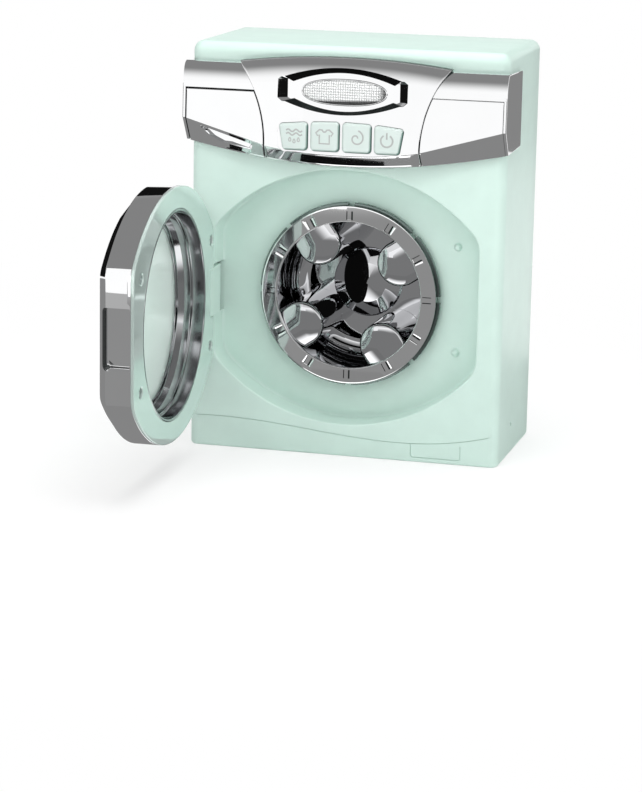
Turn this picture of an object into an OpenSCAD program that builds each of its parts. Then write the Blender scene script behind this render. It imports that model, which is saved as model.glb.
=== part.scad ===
// Toy front-loading washing machine, drawn in millimetres.
// The origin is the middle of the base, +Z is up and the front faces -Y.
// The door is drawn open; door_open = 0 closes it.

/* [Cabinet] */
// Width of the cabinet
cab_w = 222; // [206:1:240]
// Depth of the cabinet
cab_d = 110; // [106:1:130]
// Height of the cabinet
cab_h = 285; // [266:1:310]
// Wall thickness of the mouldings
wall = 2.4; // [2:0.1:2.8]
// Radius of the outer edges at the front, the sides and the top
edge_r = 7; // [4:0.5:9]
// Radius of the outer edge round the back
back_r = 1.6; // [1:0.1:1.8]
// Gap between pieces that are pushed or screwed together
fit_gap = 0.2; // [0.1:0.05:0.3]
// Gap between pieces that move past each other
run_gap = 0.35; // [0.3:0.05:0.6]

/* [Door recess] */
// Width of the wall beside the recess
recess_side = 17; // [16:0.5:20]
// Height of the plinth below the recess
plinth_h = 23; // [22:0.5:26]
// Height of the wall between the recess and the panel
recess_top = 4; // [3.5:0.5:8]
// Half height of the straight sides
oval_flat = 37; // [34:0.5:40]
// Radius where the straight sides turn into the long curves
oval_r = 20; // [16:0.5:22]
// Depth of the recess
recess_d = 22; // [21:0.5:24]
// Radius of the two round catches on the recess floor
catch_r = 2.6; // [2:0.1:3]
// Width of the moulded lines in the plinth
line_w = 0.8; // [0.6:0.1:1.2]
// Depth of the moulded lines in the plinth
line_d = 0.7; // [0.4:0.1:1]

/* [Door] */
// How far the door stands open, in degrees
door_open = 89; // [0:1:98]
// Gap between the door's edge and the recess
door_gap = 3; // [2.8:0.1:3.4]
// Thickness of the door
door_t = 25; // [24:0.5:27]
// Depth of the sloping edge round the door's front
bevel_d = 6; // [4:0.5:8]
// Width of the sloping edge round the door's front
bevel_w = 7; // [5:0.5:9]
// Space between the drum's front ring and the opening in the door's back
ring_room = 6.5; // [5.5:0.5:7.5]
// How much smaller the window is than the opening in the door's back
window_step = 9; // [8:0.5:12]
// Thickness of the window
window_t = 2; // [1.6:0.1:2.6]
// Height of the finger pocket in the door's edge
pocket_h = 41; // [36:1:44]
// Depth of the finger pocket
pocket_d = 13; // [10:0.5:14]
// Height of the hinge arm
hinge_h = 34; // [28:1:40]
// Radius of the hinge pin
hinge_pin_r = 1.4; // [1.2:0.1:1.6]

/* [Drum] */
// Radius of the drum as a share of half the recess's mean size
drum_share = 0.634; // [0.6:0.002:0.64]
// How far the drum's front ring stands out round the drum
ring_lip = 6.5; // [6:0.5:8]
// How far the drum's front ring reaches in over the drum
mouth_lip = 6.5; // [5:0.5:10]
// Length of the drum from its front ring to its back
bowl_l = 60; // [54:1:61]
// Half the thickness of the rounded lifters inside the drum
lifter_r = 16; // [13:0.5:16.5]
// Rounding of the front edge of a lifter
lifter_edge = 4; // [2.5:0.5:6]
// How far the middle of a lifter's front stands out
lifter_dome = 0.8; // [0.2:0.1:1.5]
// Number of lifters
lifter_count = 4; // [3:1:4]
// Number of tabs round the front ring
tab_count = 8; // [6:1:10]
// Number of notches on the face of the front ring
notch_count = 12; // [8:1:14]
// Radius of the drum's shaft
shaft_r = 3; // [2.5:0.1:3.5]
// Tooth size of the gears
gear_module = 1; // [0.9:0.05:1]
// Teeth on the drum's gear
drum_teeth = 60; // [56:4:60]
// Teeth on the motor's pinion
pinion_teeth = 15; // [14:1:16]
// Width of the gear teeth
gear_w = 5; // [4:0.5:6]
// Radius of the motor
motor_r = 10; // [9:0.5:12]

/* [Control panel] */
// Height of the cabinet's front above the panel
panel_drop = 13; // [12.5:0.5:16]
// Height of the panel, from its top edge down to its lowest point
panel_h = 67; // [66:0.5:70]
// How far the panel stands out of the cabinet's front
panel_out = 16; // [14:0.5:18]
// How far the panel stands out of the cabinet's sides
panel_side = 2; // [1.5:0.1:2.5]
// How far the panel reaches back along the sides
panel_wrap = 38; // [30:1:44]
// Thickness of the panel's mouldings
panel_t = 2.2; // [1.8:0.1:2.5]
// How far the middle of the panel stands in front of its sides
centre_out = 1.2; // [0.8:0.1:1.6]
// Width of the dark gap round the drawer
drawer_gap = 1; // [0.6:0.1:1.2]
// Length of the detergent tray behind the drawer's front
tray_l = 50; // [40:1:60]
// Width of one button
button_w = 20; // [18:0.5:20.5]
// Space between two buttons
button_space = 2.2; // [1.8:0.1:3]
// How far the buttons stand out of their pocket
button_out = 2.2; // [1.8:0.1:2.8]
// Depth of the pocket round the buttons
button_pocket = 1.2; // [0.6:0.1:1.4]
// Half width of the light's lens
lens_a = 30; // [26:0.5:31]
// Half height of the light's lens
lens_b = 9.2; // [8:0.1:9.6]

/* [Batteries] */
// Radius of one battery
cell_r = 7.1; // [7:0.05:7.25]
// Length of one battery
cell_l = 50; // [49:0.5:51]
// Number of batteries
cell_count = 3; // [2:1:3]

/* [Hidden] */

mint = [0.80, 0.90, 0.865];
chrome = [0.82, 0.83, 0.84];
steel = [0.62, 0.63, 0.65];
dark = [0.16, 0.16, 0.17];
eps = 0.01;

// Places and sizes that the whole machine shares
panel_top = cab_h - panel_drop;
panel_bottom = panel_top - panel_h;
oval_a = cab_w / 2 - recess_side;
oval_b = (panel_bottom - recess_top - plinth_h) / 2;
drum_z = plinth_h + oval_b;
bowl_r = drum_share * (oval_a + oval_b) / 2;
ring_r = bowl_r + ring_lip;
mouth_r = bowl_r - mouth_lip;
tunnel_r = ring_r + ring_room;
window_r = tunnel_r - window_step;
front_y = -cab_d / 2;
back_y = cab_d / 2;
side_x = cab_w / 2;
floor_y = front_y + recess_d;
cover_t = wall;
cover_y = back_y - 0.4 - cover_t;
post_r = 4;
screw_r = 1.3;
head_r = 2.8;
head_t = 1;

// Rounded outlines as lists of points
function arc(cx, cy, r, from, to, steps = 8) =
    [for (i = [0:steps]) let (a = from + (to - from) * i / steps) [cx + r * cos(a), cy + r * sin(a)]];
function box_outline(x0, x1, y0, y1, r, low_r) = concat(
    arc(x1 - r, y1 - r, r, 0, 90), arc(x0 + r, y1 - r, r, 90, 180),
    arc(x0 + low_r, y0 + low_r, low_r, 180, 270, 3), arc(x1 - low_r, y0 + low_r, low_r, 270, 360, 3));
function turned(points, a) = [for (p = points)
    [p[0] * cos(a) - p[1] * sin(a), p[0] * sin(a) + p[1] * cos(a)]];

// The recess and the door share one outline: two long curves, two straight sides and round corners.
// Drawn in by gap, it keeps the centres of its curves.
oval_k = (pow(oval_a - oval_r, 2) + pow(oval_flat, 2) - pow(oval_b - oval_r, 2))
    / (2 * (oval_b - oval_r - oval_flat));
oval_long_r = oval_b + oval_k;
oval_turn = atan2(oval_flat + oval_k, oval_a - oval_r);
function oval(gap) = [for (p = concat(
    arc(oval_a - oval_r, oval_flat, oval_r - gap, 0, oval_turn, 7),
    arc(0, -oval_k, oval_long_r - gap, oval_turn, 180 - oval_turn, 22),
    arc(oval_r - oval_a, oval_flat, oval_r - gap, 180 - oval_turn, 180, 7),
    arc(oval_r - oval_a, -oval_flat, oval_r - gap, 180, 180 + oval_turn, 7),
    arc(0, oval_k, oval_long_r - gap, 180 + oval_turn, 360 - oval_turn, 22),
    arc(oval_a - oval_r, -oval_flat, oval_r - gap, 360 - oval_turn, 360, 7))) [p[0], p[1] + drum_z]];

// Outlines drawn in two directions are pushed along the third
module along_y(y0, y1) translate([0, y1, 0]) rotate([90, 0, 0]) linear_extrude(y1 - y0) children();
module along_x(x0, x1) translate([x0, 0, 0]) rotate([90, 0, 90]) linear_extrude(x1 - x0) children();
// An outline of radius and depth is turned round the drum's axis
module about_drum(sides = 96)
    translate([0, 0, drum_z]) rotate([-90, 0, 0]) rotate_extrude($fn = sides) children();
module rod(x, z, r, y0, y1, sides = 40)
    translate([x, y1, z]) rotate([90, 0, 0]) cylinder(r = r, h = y1 - y0, $fn = sides);
module block(x0, x1, y0, y1, z0, z1) translate([x0, y0, z0]) cube([x1 - x0, y1 - y0, z1 - z0]);

// The cabinet's outer form, drawn in by inset and ending at the depth y1
module cabinet_form(inset, y1, far_r) {
    r = edge_r - inset;
    low_r = max(0.6, 2 - inset);
    intersection() {
        along_y(front_y + inset, y1)
            polygon(box_outline(inset - side_x, side_x - inset, inset, cab_h - inset, r, low_r));
        along_x(-side_x, side_x) polygon(concat(
            arc(y1 - far_r, cab_h - inset - far_r, far_r, 0, 90, 3),
            arc(front_y + inset + r, cab_h - inset - r, r, 90, 180),
            arc(front_y + inset + low_r, inset + low_r, low_r, 180, 270, 3), [[y1, inset]]));
        linear_extrude(cab_h) polygon(concat(
            arc(side_x - inset - far_r, y1 - far_r, far_r, 0, 90, 3),
            arc(far_r + inset - side_x, y1 - far_r, far_r, 90, 180, 3),
            arc(inset + r - side_x, front_y + inset + r, r, 180, 270),
            arc(side_x - inset - r, front_y + inset + r, r, 270, 360)));
    }
}

// The four posts that the rear cover is screwed to
post_x = side_x - wall - post_r - 2.6;
post_low = wall + post_r + 5.6;
post_high = cab_h - wall - post_r - 6.6;
post_places = [[-post_x, post_low], [post_x, post_low], [-post_x, post_high], [post_x, post_high]];

// The wavy line across the plinth is one smooth curve between its two ends
plinth_left = [-side_x, 21.5];
plinth_lean_1 = [-30, 27];
plinth_lean_2 = [35, -2];
plinth_right = [side_x, 23.5];
function curve(a, b, c, d, t) = pow(1 - t, 3) * a + 3 * t * pow(1 - t, 2) * b
    + 3 * t * t * (1 - t) * c + pow(t, 3) * d;
plinth_line = [for (i = [0:24]) curve(plinth_left, plinth_lean_1, plinth_lean_2, plinth_right, i / 24)];
flap_left = 49.5;
flap_right = 85.5;
flap_low = 3.4;
flap_high = 12.6;

module plinth_lines() along_y(front_y - 1, front_y + line_d) {
    polygon(concat([for (p = plinth_line) [p[0], p[1] + line_w / 2]],
        [for (i = [24:-1:0]) [plinth_line[i][0], plinth_line[i][1] - line_w / 2]]));
    difference() {
        polygon(concat(arc(flap_right - 2, flap_low + 2, 2, 270, 360, 4), [[flap_right, flap_high],
            [flap_left, flap_high]], arc(flap_left + 2, flap_low + 2, 2, 180, 270, 4)));
        polygon(concat(arc(flap_right - 2, flap_low + 2, 2 - line_w, 270, 360, 4),
            [[flap_right - line_w, flap_high + 1], [flap_left + line_w, flap_high + 1]],
            arc(flap_left + 2, flap_low + 2, 2 - line_w, 180, 270, 4)));
    }
}

// The hinge turns on a pin behind the front wall, so the door swings clear of the recess edge
hinge_arm_t = 2.6;
hinge_eye_r = 3;
hinge_x = -(oval_a + 11);
hinge_y = front_y + 7.5;
door_back_y = floor_y - 1.5;
door_front_y = door_back_y - door_t;
hinge_notch_x = hinge_x + 6;
hinge_low = drum_z - hinge_h / 2;
hinge_high = drum_z + hinge_h / 2;
screw_x_hinge = -(oval_a - door_gap - 7);
screw_x_handle = oval_a - door_gap - 16;
screw_dz = oval_flat;

// Detergent tray, its opening and its runners
tray_x0 = -(side_x - 8);
tray_x1 = -59.5;
tray_z0 = panel_bottom + 14;
tray_z1 = tray_z0 + 29;
tray_t = 1.5;
guide_t = 1.6;
tray_y0 = front_y - run_gap;
tray_y1 = tray_y0 + tray_l;

// Drum, gear and motor, from front to back
ring_y = front_y + 12;
bowl_y0 = ring_y + 2.5;
bowl_y1 = ring_y + bowl_l;
drum_hole_r = bowl_r + 2.6;
frame_y0 = bowl_y1 + 3;
frame_y1 = frame_y0 + wall;
gear_y0 = frame_y1 + 2.2;
gear_y1 = gear_y0 + gear_w;
mesh_gap = 0.15;
gear_far = gear_module * (drum_teeth + pinion_teeth) / 2 + mesh_gap;
motor_turn = -50;
motor_x = gear_far * cos(motor_turn);
motor_z = drum_z + gear_far * sin(motor_turn);
motor_y0 = gear_y1 + 1.2;
motor_shaft_r = 1;

module front_shell() color(mint) union() {
    shell_body();
    catches();
}

// Cabinet, open at the back, with the recess, its drum opening and the posts for the rear cover
module shell_body() difference() {
    union() {
        difference() {
            cabinet_form(0, back_y, back_r);
            cabinet_form(wall, back_y + 5, 0.6);
        }
        along_y(front_y + eps, floor_y + wall) polygon(oval(-wall));
        for (p = post_places) rod(p[0], p[1], post_r, front_y + wall - eps, cover_y);
        hinge_bosses();
    }
    along_y(front_y - 1, floor_y) polygon(oval(0));
    rod(0, drum_z, drum_hole_r, floor_y - 1, floor_y + wall + 1, 96);
    for (p = post_places) rod(p[0], p[1], screw_r, cover_y - 14, cover_y + 1, 24);
    block(hinge_notch_x, -oval_a + 1, front_y - 1, floor_y, hinge_low - 0.8, hinge_high + 0.8);
    translate([hinge_x, hinge_y, hinge_low - 12])
        cylinder(r = hinge_pin_r + 0.02, h = hinge_h + 24, $fn = 32);
    block(tray_x0 - run_gap - guide_t, tray_x1 + run_gap + guide_t, front_y - 1, front_y + wall + 1,
        tray_z0 - run_gap - guide_t, tray_z1 + run_gap + guide_t);
    block(-button_row / 2, button_row / 2, front_y - 1, front_y + wall + 1,
        button_z0 + 3, button_z1 - 2);
    rod(0, lens_z, 5, front_y - 1, front_y + wall + 1);
    plinth_lines();
    translate([side_x + 1, -8, 21.5]) rotate([0, -90, 0]) cylinder(r = 1.4, h = wall + 2, $fn = 24);
    translate([side_x - 0.6, -8, 21.5]) rotate([0, 90, 0]) cylinder(r = 1.9, h = 2, $fn = 24);
}

// Bosses above and below the hinge arm hold the pin
module hinge_bosses() for (z = [hinge_low - 11, hinge_high + 1])
    block(-side_x + wall - eps, hinge_x + hinge_eye_r, front_y + wall - eps,
        hinge_y + hinge_eye_r + 0.4, z, z + 10);

// Two round catches press into the screw holes of the closed door
module catches() for (s = [-1, 1])
    translate([screw_x_handle, floor_y, drum_z + s * screw_dz]) sphere(r = catch_r, $fn = 32);

// Rear cover, with the speaker's slots, the motor's cup and the walls of the battery box
box_x = cell_l / 2 + 3;
box_z0 = wall + 3.4;
box_z1 = box_z0 + cell_count * (2 * cell_r + 0.4) + 0.8;
door_seat_y = cover_y + cover_t - 1.6;
box_y0 = door_seat_y - 2 * cell_r - 0.4;
box_t = 1.5;
speaker_z = panel_bottom + 20;
speaker_x = 50;
speaker_r = 18;
speaker_t = 6;
lid_screw_z = box_z1 + 3.8;
lid_sink = 0.8;

module cover_outline(gap) polygon(box_outline(wall + gap - side_x, side_x - wall - gap, wall + gap,
    cab_h - wall - gap, edge_r - wall, 0.8));

module rear_cover() color(mint) difference() {
    union() {
        along_y(cover_y, cover_y + cover_t) cover_outline(fit_gap);
        block(-box_x - box_t, box_x + box_t, box_y0 - box_t, cover_y + eps, box_z0 - box_t, box_z1 + box_t);
        rod(motor_x, motor_z, motor_r + fit_gap + 1.6, motor_y0 + 5, cover_y + eps, 64);
        rod(speaker_x, speaker_z, speaker_r + fit_gap + 1.4, cover_y - speaker_t + 1, cover_y + eps, 64);
        rod(0, lid_screw_z, head_r + 0.4, cover_y - 8, cover_y + eps, 40);
    }
    block(-box_x, box_x, box_y0, cover_y + cover_t + 1, box_z0, box_z1);
    block(-box_x - 2.2, box_x + 2.2, door_seat_y, back_y + 1, box_z0 - 2.2, box_z1 + 7);
    rod(0, lid_screw_z, screw_r, cover_y - 9, back_y + 1, 24);
    rod(motor_x, motor_z, motor_r + fit_gap, motor_y0, cover_y - 0.2, 64);
    rod(speaker_x, speaker_z, speaker_r + fit_gap, cover_y - speaker_t, cover_y, 64);
    for (i = [-3:3]) speaker_slot(i);
    for (p = post_places) rod(p[0], p[1], screw_r + 0.35, cover_y - 1, back_y, 24);
    for (p = post_places) rod(p[0], p[1], head_r + 0.2, cover_y + cover_t - head_t - 0.2, back_y, 24);
}

module speaker_slot(i) {
    half = sqrt(pow(speaker_r - 3, 2) - pow(4 * i, 2));
    block(speaker_x - half, speaker_x + half, cover_y - 1, back_y,
        speaker_z + 4 * i - 0.7, speaker_z + 4 * i + 0.7);
}

module battery_door() color(mint) difference() {
    along_y(door_seat_y, cover_y + cover_t) polygon(box_outline(-box_x - 2, box_x + 2,
        box_z0 - 2, box_z1 + 6.8, 1.5, 1.5));
    rod(0, lid_screw_z, screw_r + 0.35, cover_y, back_y, 24);
    rod(0, lid_screw_z, head_r + 0.2, cover_y + cover_t - lid_sink, back_y, 24);
    for (i = [-2:2]) block(-14, 14, cover_y + cover_t - 0.5, back_y,
        box_z0 + 6 + 3 * i, box_z0 + 7.2 + 3 * i);
}

function cell_z(i) = box_z0 + 0.6 + cell_r + i * (2 * cell_r + 0.4);
cell_y = box_y0 + cell_r + 0.1;
// Side by side, the batteries point in turn to the left and to the right
module batteries() color("darkgreen") for (i = [0:cell_count - 1])
    translate([0, cell_y, cell_z(i)]) rotate([0, i % 2 == 0 ? 90 : -90, 0]) union() {
        translate([0, 0, -cell_l / 2]) cylinder(r = cell_r, h = cell_l - 1, $fn = 40);
        translate([0, 0, cell_l / 2 - 1 - eps]) cylinder(r = 2.6, h = 1, $fn = 32);
    }

module battery_contacts() color(steel) for (s = [-1, 1])
    block(s > 0 ? cell_l / 2 + 0.3 : -box_x + 0.1, s > 0 ? box_x - 0.1 : -cell_l / 2 - 0.3,
        box_y0 + 2, box_y0 + 12, box_z0 + 1, box_z1 - 1);

// The panel's front, seen from the side: a curved top strip over a long, slightly leaning face
face_top_y = front_y - panel_out * 0.42;
face_break_z = panel_top - 17;
face_break_y = front_y - panel_out * 0.86;
face_low_y = front_y - panel_out;
smile_r = 522;
crown_r = 544;
seam_r = 88;
crease_slope = 17;
crease_z = panel_bottom + 13;
crease_x = 54;
centre_slope = 15;
under_lean = 0.7;
lip_z = panel_bottom + 6.3;
wing_slope = 1.5;
seam_x = crease_x + seam_r;
seam_z = crease_z;
seam_gap = 0.06;
panel_half = side_x + panel_side;
strip_z = panel_top - 17.5;
lens_z = panel_bottom + 51;

function smile(x) = panel_bottom + smile_r - sqrt(smile_r * smile_r - x * x);
function crown(x) = panel_top + 6.5 - crown_r + sqrt(crown_r * crown_r - x * x);

function face_curve(out, inner) = concat(
    [for (i = [0:8]) let (a = 90 * i / 8) [face_top_y - out + inner + (face_break_y - face_top_y) * sin(a),
        face_break_z + (panel_top - face_break_z) * cos(a)]],
    [[face_low_y - out + inner, panel_bottom - 2]]);
module side_section(out, inner) along_x(-panel_half - 1, panel_half + 1) polygon(concat(
    [[front_y + 1, panel_bottom - 2], [front_y + 1, cab_h], [face_top_y - out + inner, cab_h]],
    face_curve(out, inner)));

// Below the crease the front turns back towards the cabinet
module crease_cut(out, inner, slope) for (s = [-1, 1])
    translate([s * crease_x, face_low_y - out + inner, crease_z]) rotate([0, -s * slope, 0]) under_wedge();
module under_wedge() along_x(-2 * panel_half, 2 * panel_half)
    polygon([[-6, 6 / under_lean], [0, 0], [15, -15 / under_lean], [15, -60], [-6, -60]]);

// In the middle the crease runs level, and rises from there to meet the side creases
module centre_crease_cut(out, inner) {
    crease_cut(out, inner, centre_slope);
    translate([0, face_low_y - out + inner, lip_z]) under_wedge();
}

module centre_outline(gap) along_y(front_y - 40, front_y + 2) difference() {
    polygon(concat([for (i = [-12:12]) [i / 12 * 80, smile(i / 12 * 80) + gap]],
        [for (i = [12:-1:-12]) [i / 12 * 80, crown(i / 12 * 80) - gap]]));
    for (s = [-1, 1]) translate([s * seam_x, seam_z]) circle(r = seam_r + gap, $fn = 180);
}

module side_outline(s, gap, low, high) along_y(front_y - 40, front_y) intersection() {
    polygon(concat([for (i = [-16:16]) [i / 16 * (panel_half - low), smile(i / 16 * panel_half)]],
        [[panel_half - low, high], [low - panel_half, high]]));
    translate([s * seam_x, seam_z]) circle(r = seam_r - gap, $fn = 180);
}

module side_skin(s, gap, low, high) difference() {
    intersection() {
        side_section(0, 0);
        side_outline(s, gap, low, high);
    }
    crease_cut(0, 0, crease_slope);
}

// Chrome frame: the two top strips, and the wings that wrap round the cabinet's sides
module panel_frame() color(chrome) {
    difference() {
        intersection() {
            side_section(0, 0);
            along_y(front_y - 40, front_y) difference() {
                polygon([[-panel_half, strip_z], [panel_half, strip_z],
                    [panel_half, panel_top], [-panel_half, panel_top]]);
                polygon([for (i = [-1, 1], j = [0:20]) let (a = i > 0 ? j : 20 - j, z = strip_z - 1 + a)
                    [i * (seam_x - sqrt(pow(seam_r - seam_gap, 2) - pow(z - seam_z, 2))), z]]);
            }
        }
        intersection() {
            side_section(0, panel_t);
            block(-side_x, side_x, front_y - 40, front_y + 2, strip_z - 1, panel_top - panel_t);
        }
    }
    for (s = [-1, 1]) side_wing(s);
}

module side_wing(s) difference() {
    along_x(s > 0 ? side_x : -panel_half, s > 0 ? panel_half : -side_x) intersection() {
        polygon(concat([[front_y + panel_wrap, panel_top - 1]], face_curve(0, 0),
            [[front_y + panel_wrap, panel_bottom - 2]]));
        polygon([[face_low_y - 2, smile(panel_half)], [front_y, smile(panel_half)],
            [front_y + panel_wrap, smile(panel_half) + wing_slope], [front_y + panel_wrap, cab_h],
            [face_low_y - 2, cab_h]]);
    }
    crease_cut(0, 0, crease_slope);
}

// What is left open behind the skin, with a floor of the height rise
module side_hollow(s, rise) difference() {
    intersection() {
        side_section(0, panel_t);
        side_outline(s, panel_t + 1, panel_side + panel_t, strip_z - panel_t);
        translate([0, 0, rise]) side_outline(s, panel_t + 1, panel_side + panel_t, strip_z);
    }
    crease_cut(0, panel_t, crease_slope);
}

module panel_right() color(chrome) difference() {
    side_skin(1, 0.15, panel_side + 0.15, strip_z - 0.15);
    side_hollow(1, panel_t);
}

// Detergent drawer: a chrome front with a finger slot, on a mint tray
// Corners of the slot, measured along the crease from its foot and down from it
slot_corners = [[-47, -3.2], [-8.4, -3.2], [-8.4, -7.9], [-30, -11.5], [-46, -5]];
module drawer_front() color(chrome) difference() {
    side_skin(-1, drawer_gap, panel_side + drawer_gap, strip_z - drawer_gap);
    intersection() {
        side_hollow(-1, panel_t + 1.5);
        block(-panel_half, 0, face_low_y, front_y - 3, panel_bottom, panel_top);
    }
    translate([-crease_x, 0, crease_z]) rotate([0, crease_slope, 0])
        along_y(face_low_y - 4, front_y - 4) polygon(slot_corners);
    block(-panel_half - 1, 0, front_y - run_gap, front_y + 3, panel_bottom - 5, panel_top);
}

module drawer_tray() color(mint) difference() {
    block(tray_x0, tray_x1, tray_y0, tray_y1, tray_z0, tray_z1);
    block(tray_x0 + tray_t, tray_x1 - tray_t, tray_y0 + tray_t, tray_y1 - tray_t,
        tray_z0 + tray_t, tray_z1 + 1);
}

module drawer_guide() color(mint) difference() {
    block(tray_x0 - run_gap - guide_t + fit_gap, tray_x1 + run_gap + guide_t - fit_gap,
        front_y + 0.5, tray_y1 + 6, tray_z0 - run_gap - guide_t + fit_gap, tray_z1 - 6);
    block(tray_x0 - run_gap, tray_x1 + run_gap, front_y - 1, tray_y1 + 4, tray_z0 - run_gap, tray_z1);
}

// Middle of the panel, with openings for the light and the four buttons
button_row = 4 * button_w + 3 * button_space;
button_z0 = panel_bottom + 10.5;
button_z1 = button_z0 + 19;
button_lean = 2.2;
function button_x(i) = -button_row / 2 + i * (button_w + button_space);
// The tops of the buttons follow one shallow curve, and the outer two lean inwards at the bottom
function button_top(x) = button_z1 + 1.2 - x * x / 700;
function lean_in(x, z) = x * (1 - button_lean / button_row * 2 * (button_z1 - z) / (button_z1 - button_z0));

module button_outline(i, grow) {
    x0 = button_x(i) - grow;
    x1 = button_x(i) + button_w + grow;
    r = 2.6 + grow;
    low_x0 = i == 0 ? lean_in(x0, button_z0) : x0;
    low_x1 = i == 3 ? lean_in(x1, button_z0) : x1;
    z0 = button_z0 - grow;
    polygon(concat(arc(x1 - r, button_top(x1 - r) + grow - r, r, 0, 90, 5),
        arc(x0 + r, button_top(x0 + r) + grow - r, r, 90, 180, 5),
        arc(low_x0 + r, z0 + r, r, 180, 270, 5), arc(low_x1 - r, z0 + r, r, 270, 360, 5)));
}

centre_face_y = face_low_y - centre_out;
button_floor_y = centre_face_y + button_pocket;
button_face_y = button_floor_y - button_out;
button_back_y = button_floor_y + panel_t;

// Outline of the bezel, grown by its own amount at the sides, at the top and at the bottom
bezel_half = 46.5;
function bezel_points(side, up, down) = let (k = 1 + side / bezel_half) concat(
    [[bezel_half * k, lens_z - 5.5], [bezel_half * k, lens_z + 7], [44 * k, lens_z + 9.6 + up * 0.6]],
    [for (i = [-10:10]) [-4.2 * i * k, lens_z + 17.2 + up - pow(4.2 * i, 2) / 250]],
    [[-44 * k, lens_z + 9.6 + up * 0.6], [-bezel_half * k, lens_z + 7],
        [-bezel_half * k, lens_z - 5.5], [-43.5 * k, lens_z - 8.6 - down * 0.6]],
    [for (i = [-10:10]) [4.1 * i * k, lens_z - 16.8 - down + pow(4.1 * i, 2) / 220]],
    [[43.5 * k, lens_z - 8.6 - down * 0.6]]);
module bezel_outline(grow) polygon(bezel_points(grow, grow, grow));

module panel_centre() color(chrome) difference() {
    intersection() {
        side_section(centre_out, 0);
        centre_outline(0);
        block(-90, 90, front_y - 40, front_y, 0, cab_h);
    }
    centre_crease_cut(centre_out, 0);
    difference() {
        intersection() {
            side_section(centre_out, panel_t + button_pocket);
            centre_outline(panel_t);
            block(-90, 90, centre_face_y, front_y + 2, panel_bottom + 8, panel_top + 2);
        }
        centre_crease_cut(centre_out, panel_t);
    }
    along_y(front_y - 40, button_floor_y) polygon(concat(
        [[-button_row / 2 - 1.6, button_z0 + 2], [-button_row / 2 + 2, button_z0 - 1.5],
            [button_row / 2 - 2, button_z0 - 1.5], [button_row / 2 + 1.6, button_z0 + 2]],
        [for (i = [8:-1:-8]) let (x = i / 8 * (button_row / 2 + 2)) [x, button_top(x) + 2]]));
    for (i = [0:3]) along_y(front_y - 40, front_y + 1) button_outline(i, run_gap);
    block(-button_row / 2 - 2.5, button_row / 2 + 2.5, button_back_y, front_y + 1,
        button_z0 - 2.2, button_z1 + 3);
    along_y(front_y - 40, front_y + 1) bezel_outline(-1);
}

travel = 1.8;
flange_y = button_back_y + 0.15;
flange_t = 1.2;
switch_y = front_y + 4;
board_y = switch_y + 3.5;
board_x = button_row / 2 + 2;

module push_button(i) color(mint) {
    along_y(button_face_y, flange_y + eps) button_outline(i, 0);
    along_y(flange_y, flange_y + flange_t) button_outline(i, 0.9);
    rod(button_x(i) + button_w / 2, button_z0 + 9.5, 3, flange_y + flange_t - eps,
        switch_y - travel - 0.2, 24);
}

module button_1() push_button(0);
module button_2() push_button(1);
module button_3() push_button(2);
module button_4() push_button(3);

// A push switch behind each button, all on one board
module button_switches() color(dark) for (i = [0:3]) {
    x = button_x(i) + button_w / 2;
    block(x - 3, x + 3, switch_y + 0.6, board_y, button_z0 + 6.5, button_z0 + 12.5);
    rod(x, button_z0 + 9.5, 1.7, switch_y, switch_y + 0.6 + eps, 24);
}

module circuit_board() color("seagreen") difference() {
    union() {
        block(-board_x, board_x, board_y, board_y + 1.6, button_z0 + 1, lens_z + 9);
        for (s = [-1, 1]) rod(s * (board_x - 6), lens_z + 6, 2.5, front_y + wall, board_y + eps, 32);
    }
    rod(0, lens_z, 3, board_y - 1, board_y + 3, 32);
}

module led_lamp() color("white") {
    rod(0, lens_z, 2.9, board_y - 7, board_y + 1.6, 32);
    translate([0, board_y - 7, lens_z]) sphere(r = 2.9, $fn = 32);
}

// Faceted funnel round the light, with the oval lens in its floor
bezel_floor_y = centre_face_y + 6;
bezel_floor_t = 1.6;
bezel_back_y = face_top_y - centre_out + 1.5;
lens_out = 2;
module lens_bezel() color(chrome) difference() {
    intersection() {
        along_y(front_y - 40, bezel_back_y) bezel_outline(-1.2);
        side_section(centre_out, 0);
    }
    hull() {
        along_y(centre_face_y - 0.2, centre_face_y - 0.1) bezel_outline(-1.8);
        along_y(bezel_floor_y - 0.1, bezel_floor_y) polygon(bezel_points(-7.4, -4.8, -2.4));
    }
    along_y(bezel_floor_y + bezel_floor_t, bezel_back_y + 1) bezel_outline(-3.4);
    along_y(bezel_floor_y - 1, bezel_back_y) lens_outline(0.15);
}

function lens_point(a, grow) = [(lens_a + grow) * cos(a), lens_z + (lens_b + grow) * sin(a)];
module lens_outline(grow) polygon([for (a = [0:7.5:352.5]) lens_point(a, grow)]);

module light_lens() color([0.9, 0.92, 0.92, 0.6]) {
    along_y(bezel_floor_y - lens_out, bezel_floor_y + bezel_floor_t) lens_outline(0);
    along_y(bezel_floor_y + bezel_floor_t, bezel_floor_y + bezel_floor_t + 1.2) lens_outline(1.2);
}

module speaker() color(dark) {
    rod(speaker_x, speaker_z, speaker_r, cover_y - 2, cover_y - 0.1, 64);
    rod(speaker_x, speaker_z, 8, cover_y - speaker_t - 1, cover_y - 2 + eps, 40);
}

// Drum: a chrome ring with tabs and notches in front of a chrome bowl with round lifters
ring_t = 2.5;
skirt_r = bowl_r + 0.15;
ring_face_r = ring_r - 3.5;
tab_gap = 4.4;
notch_w = 4;

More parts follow.
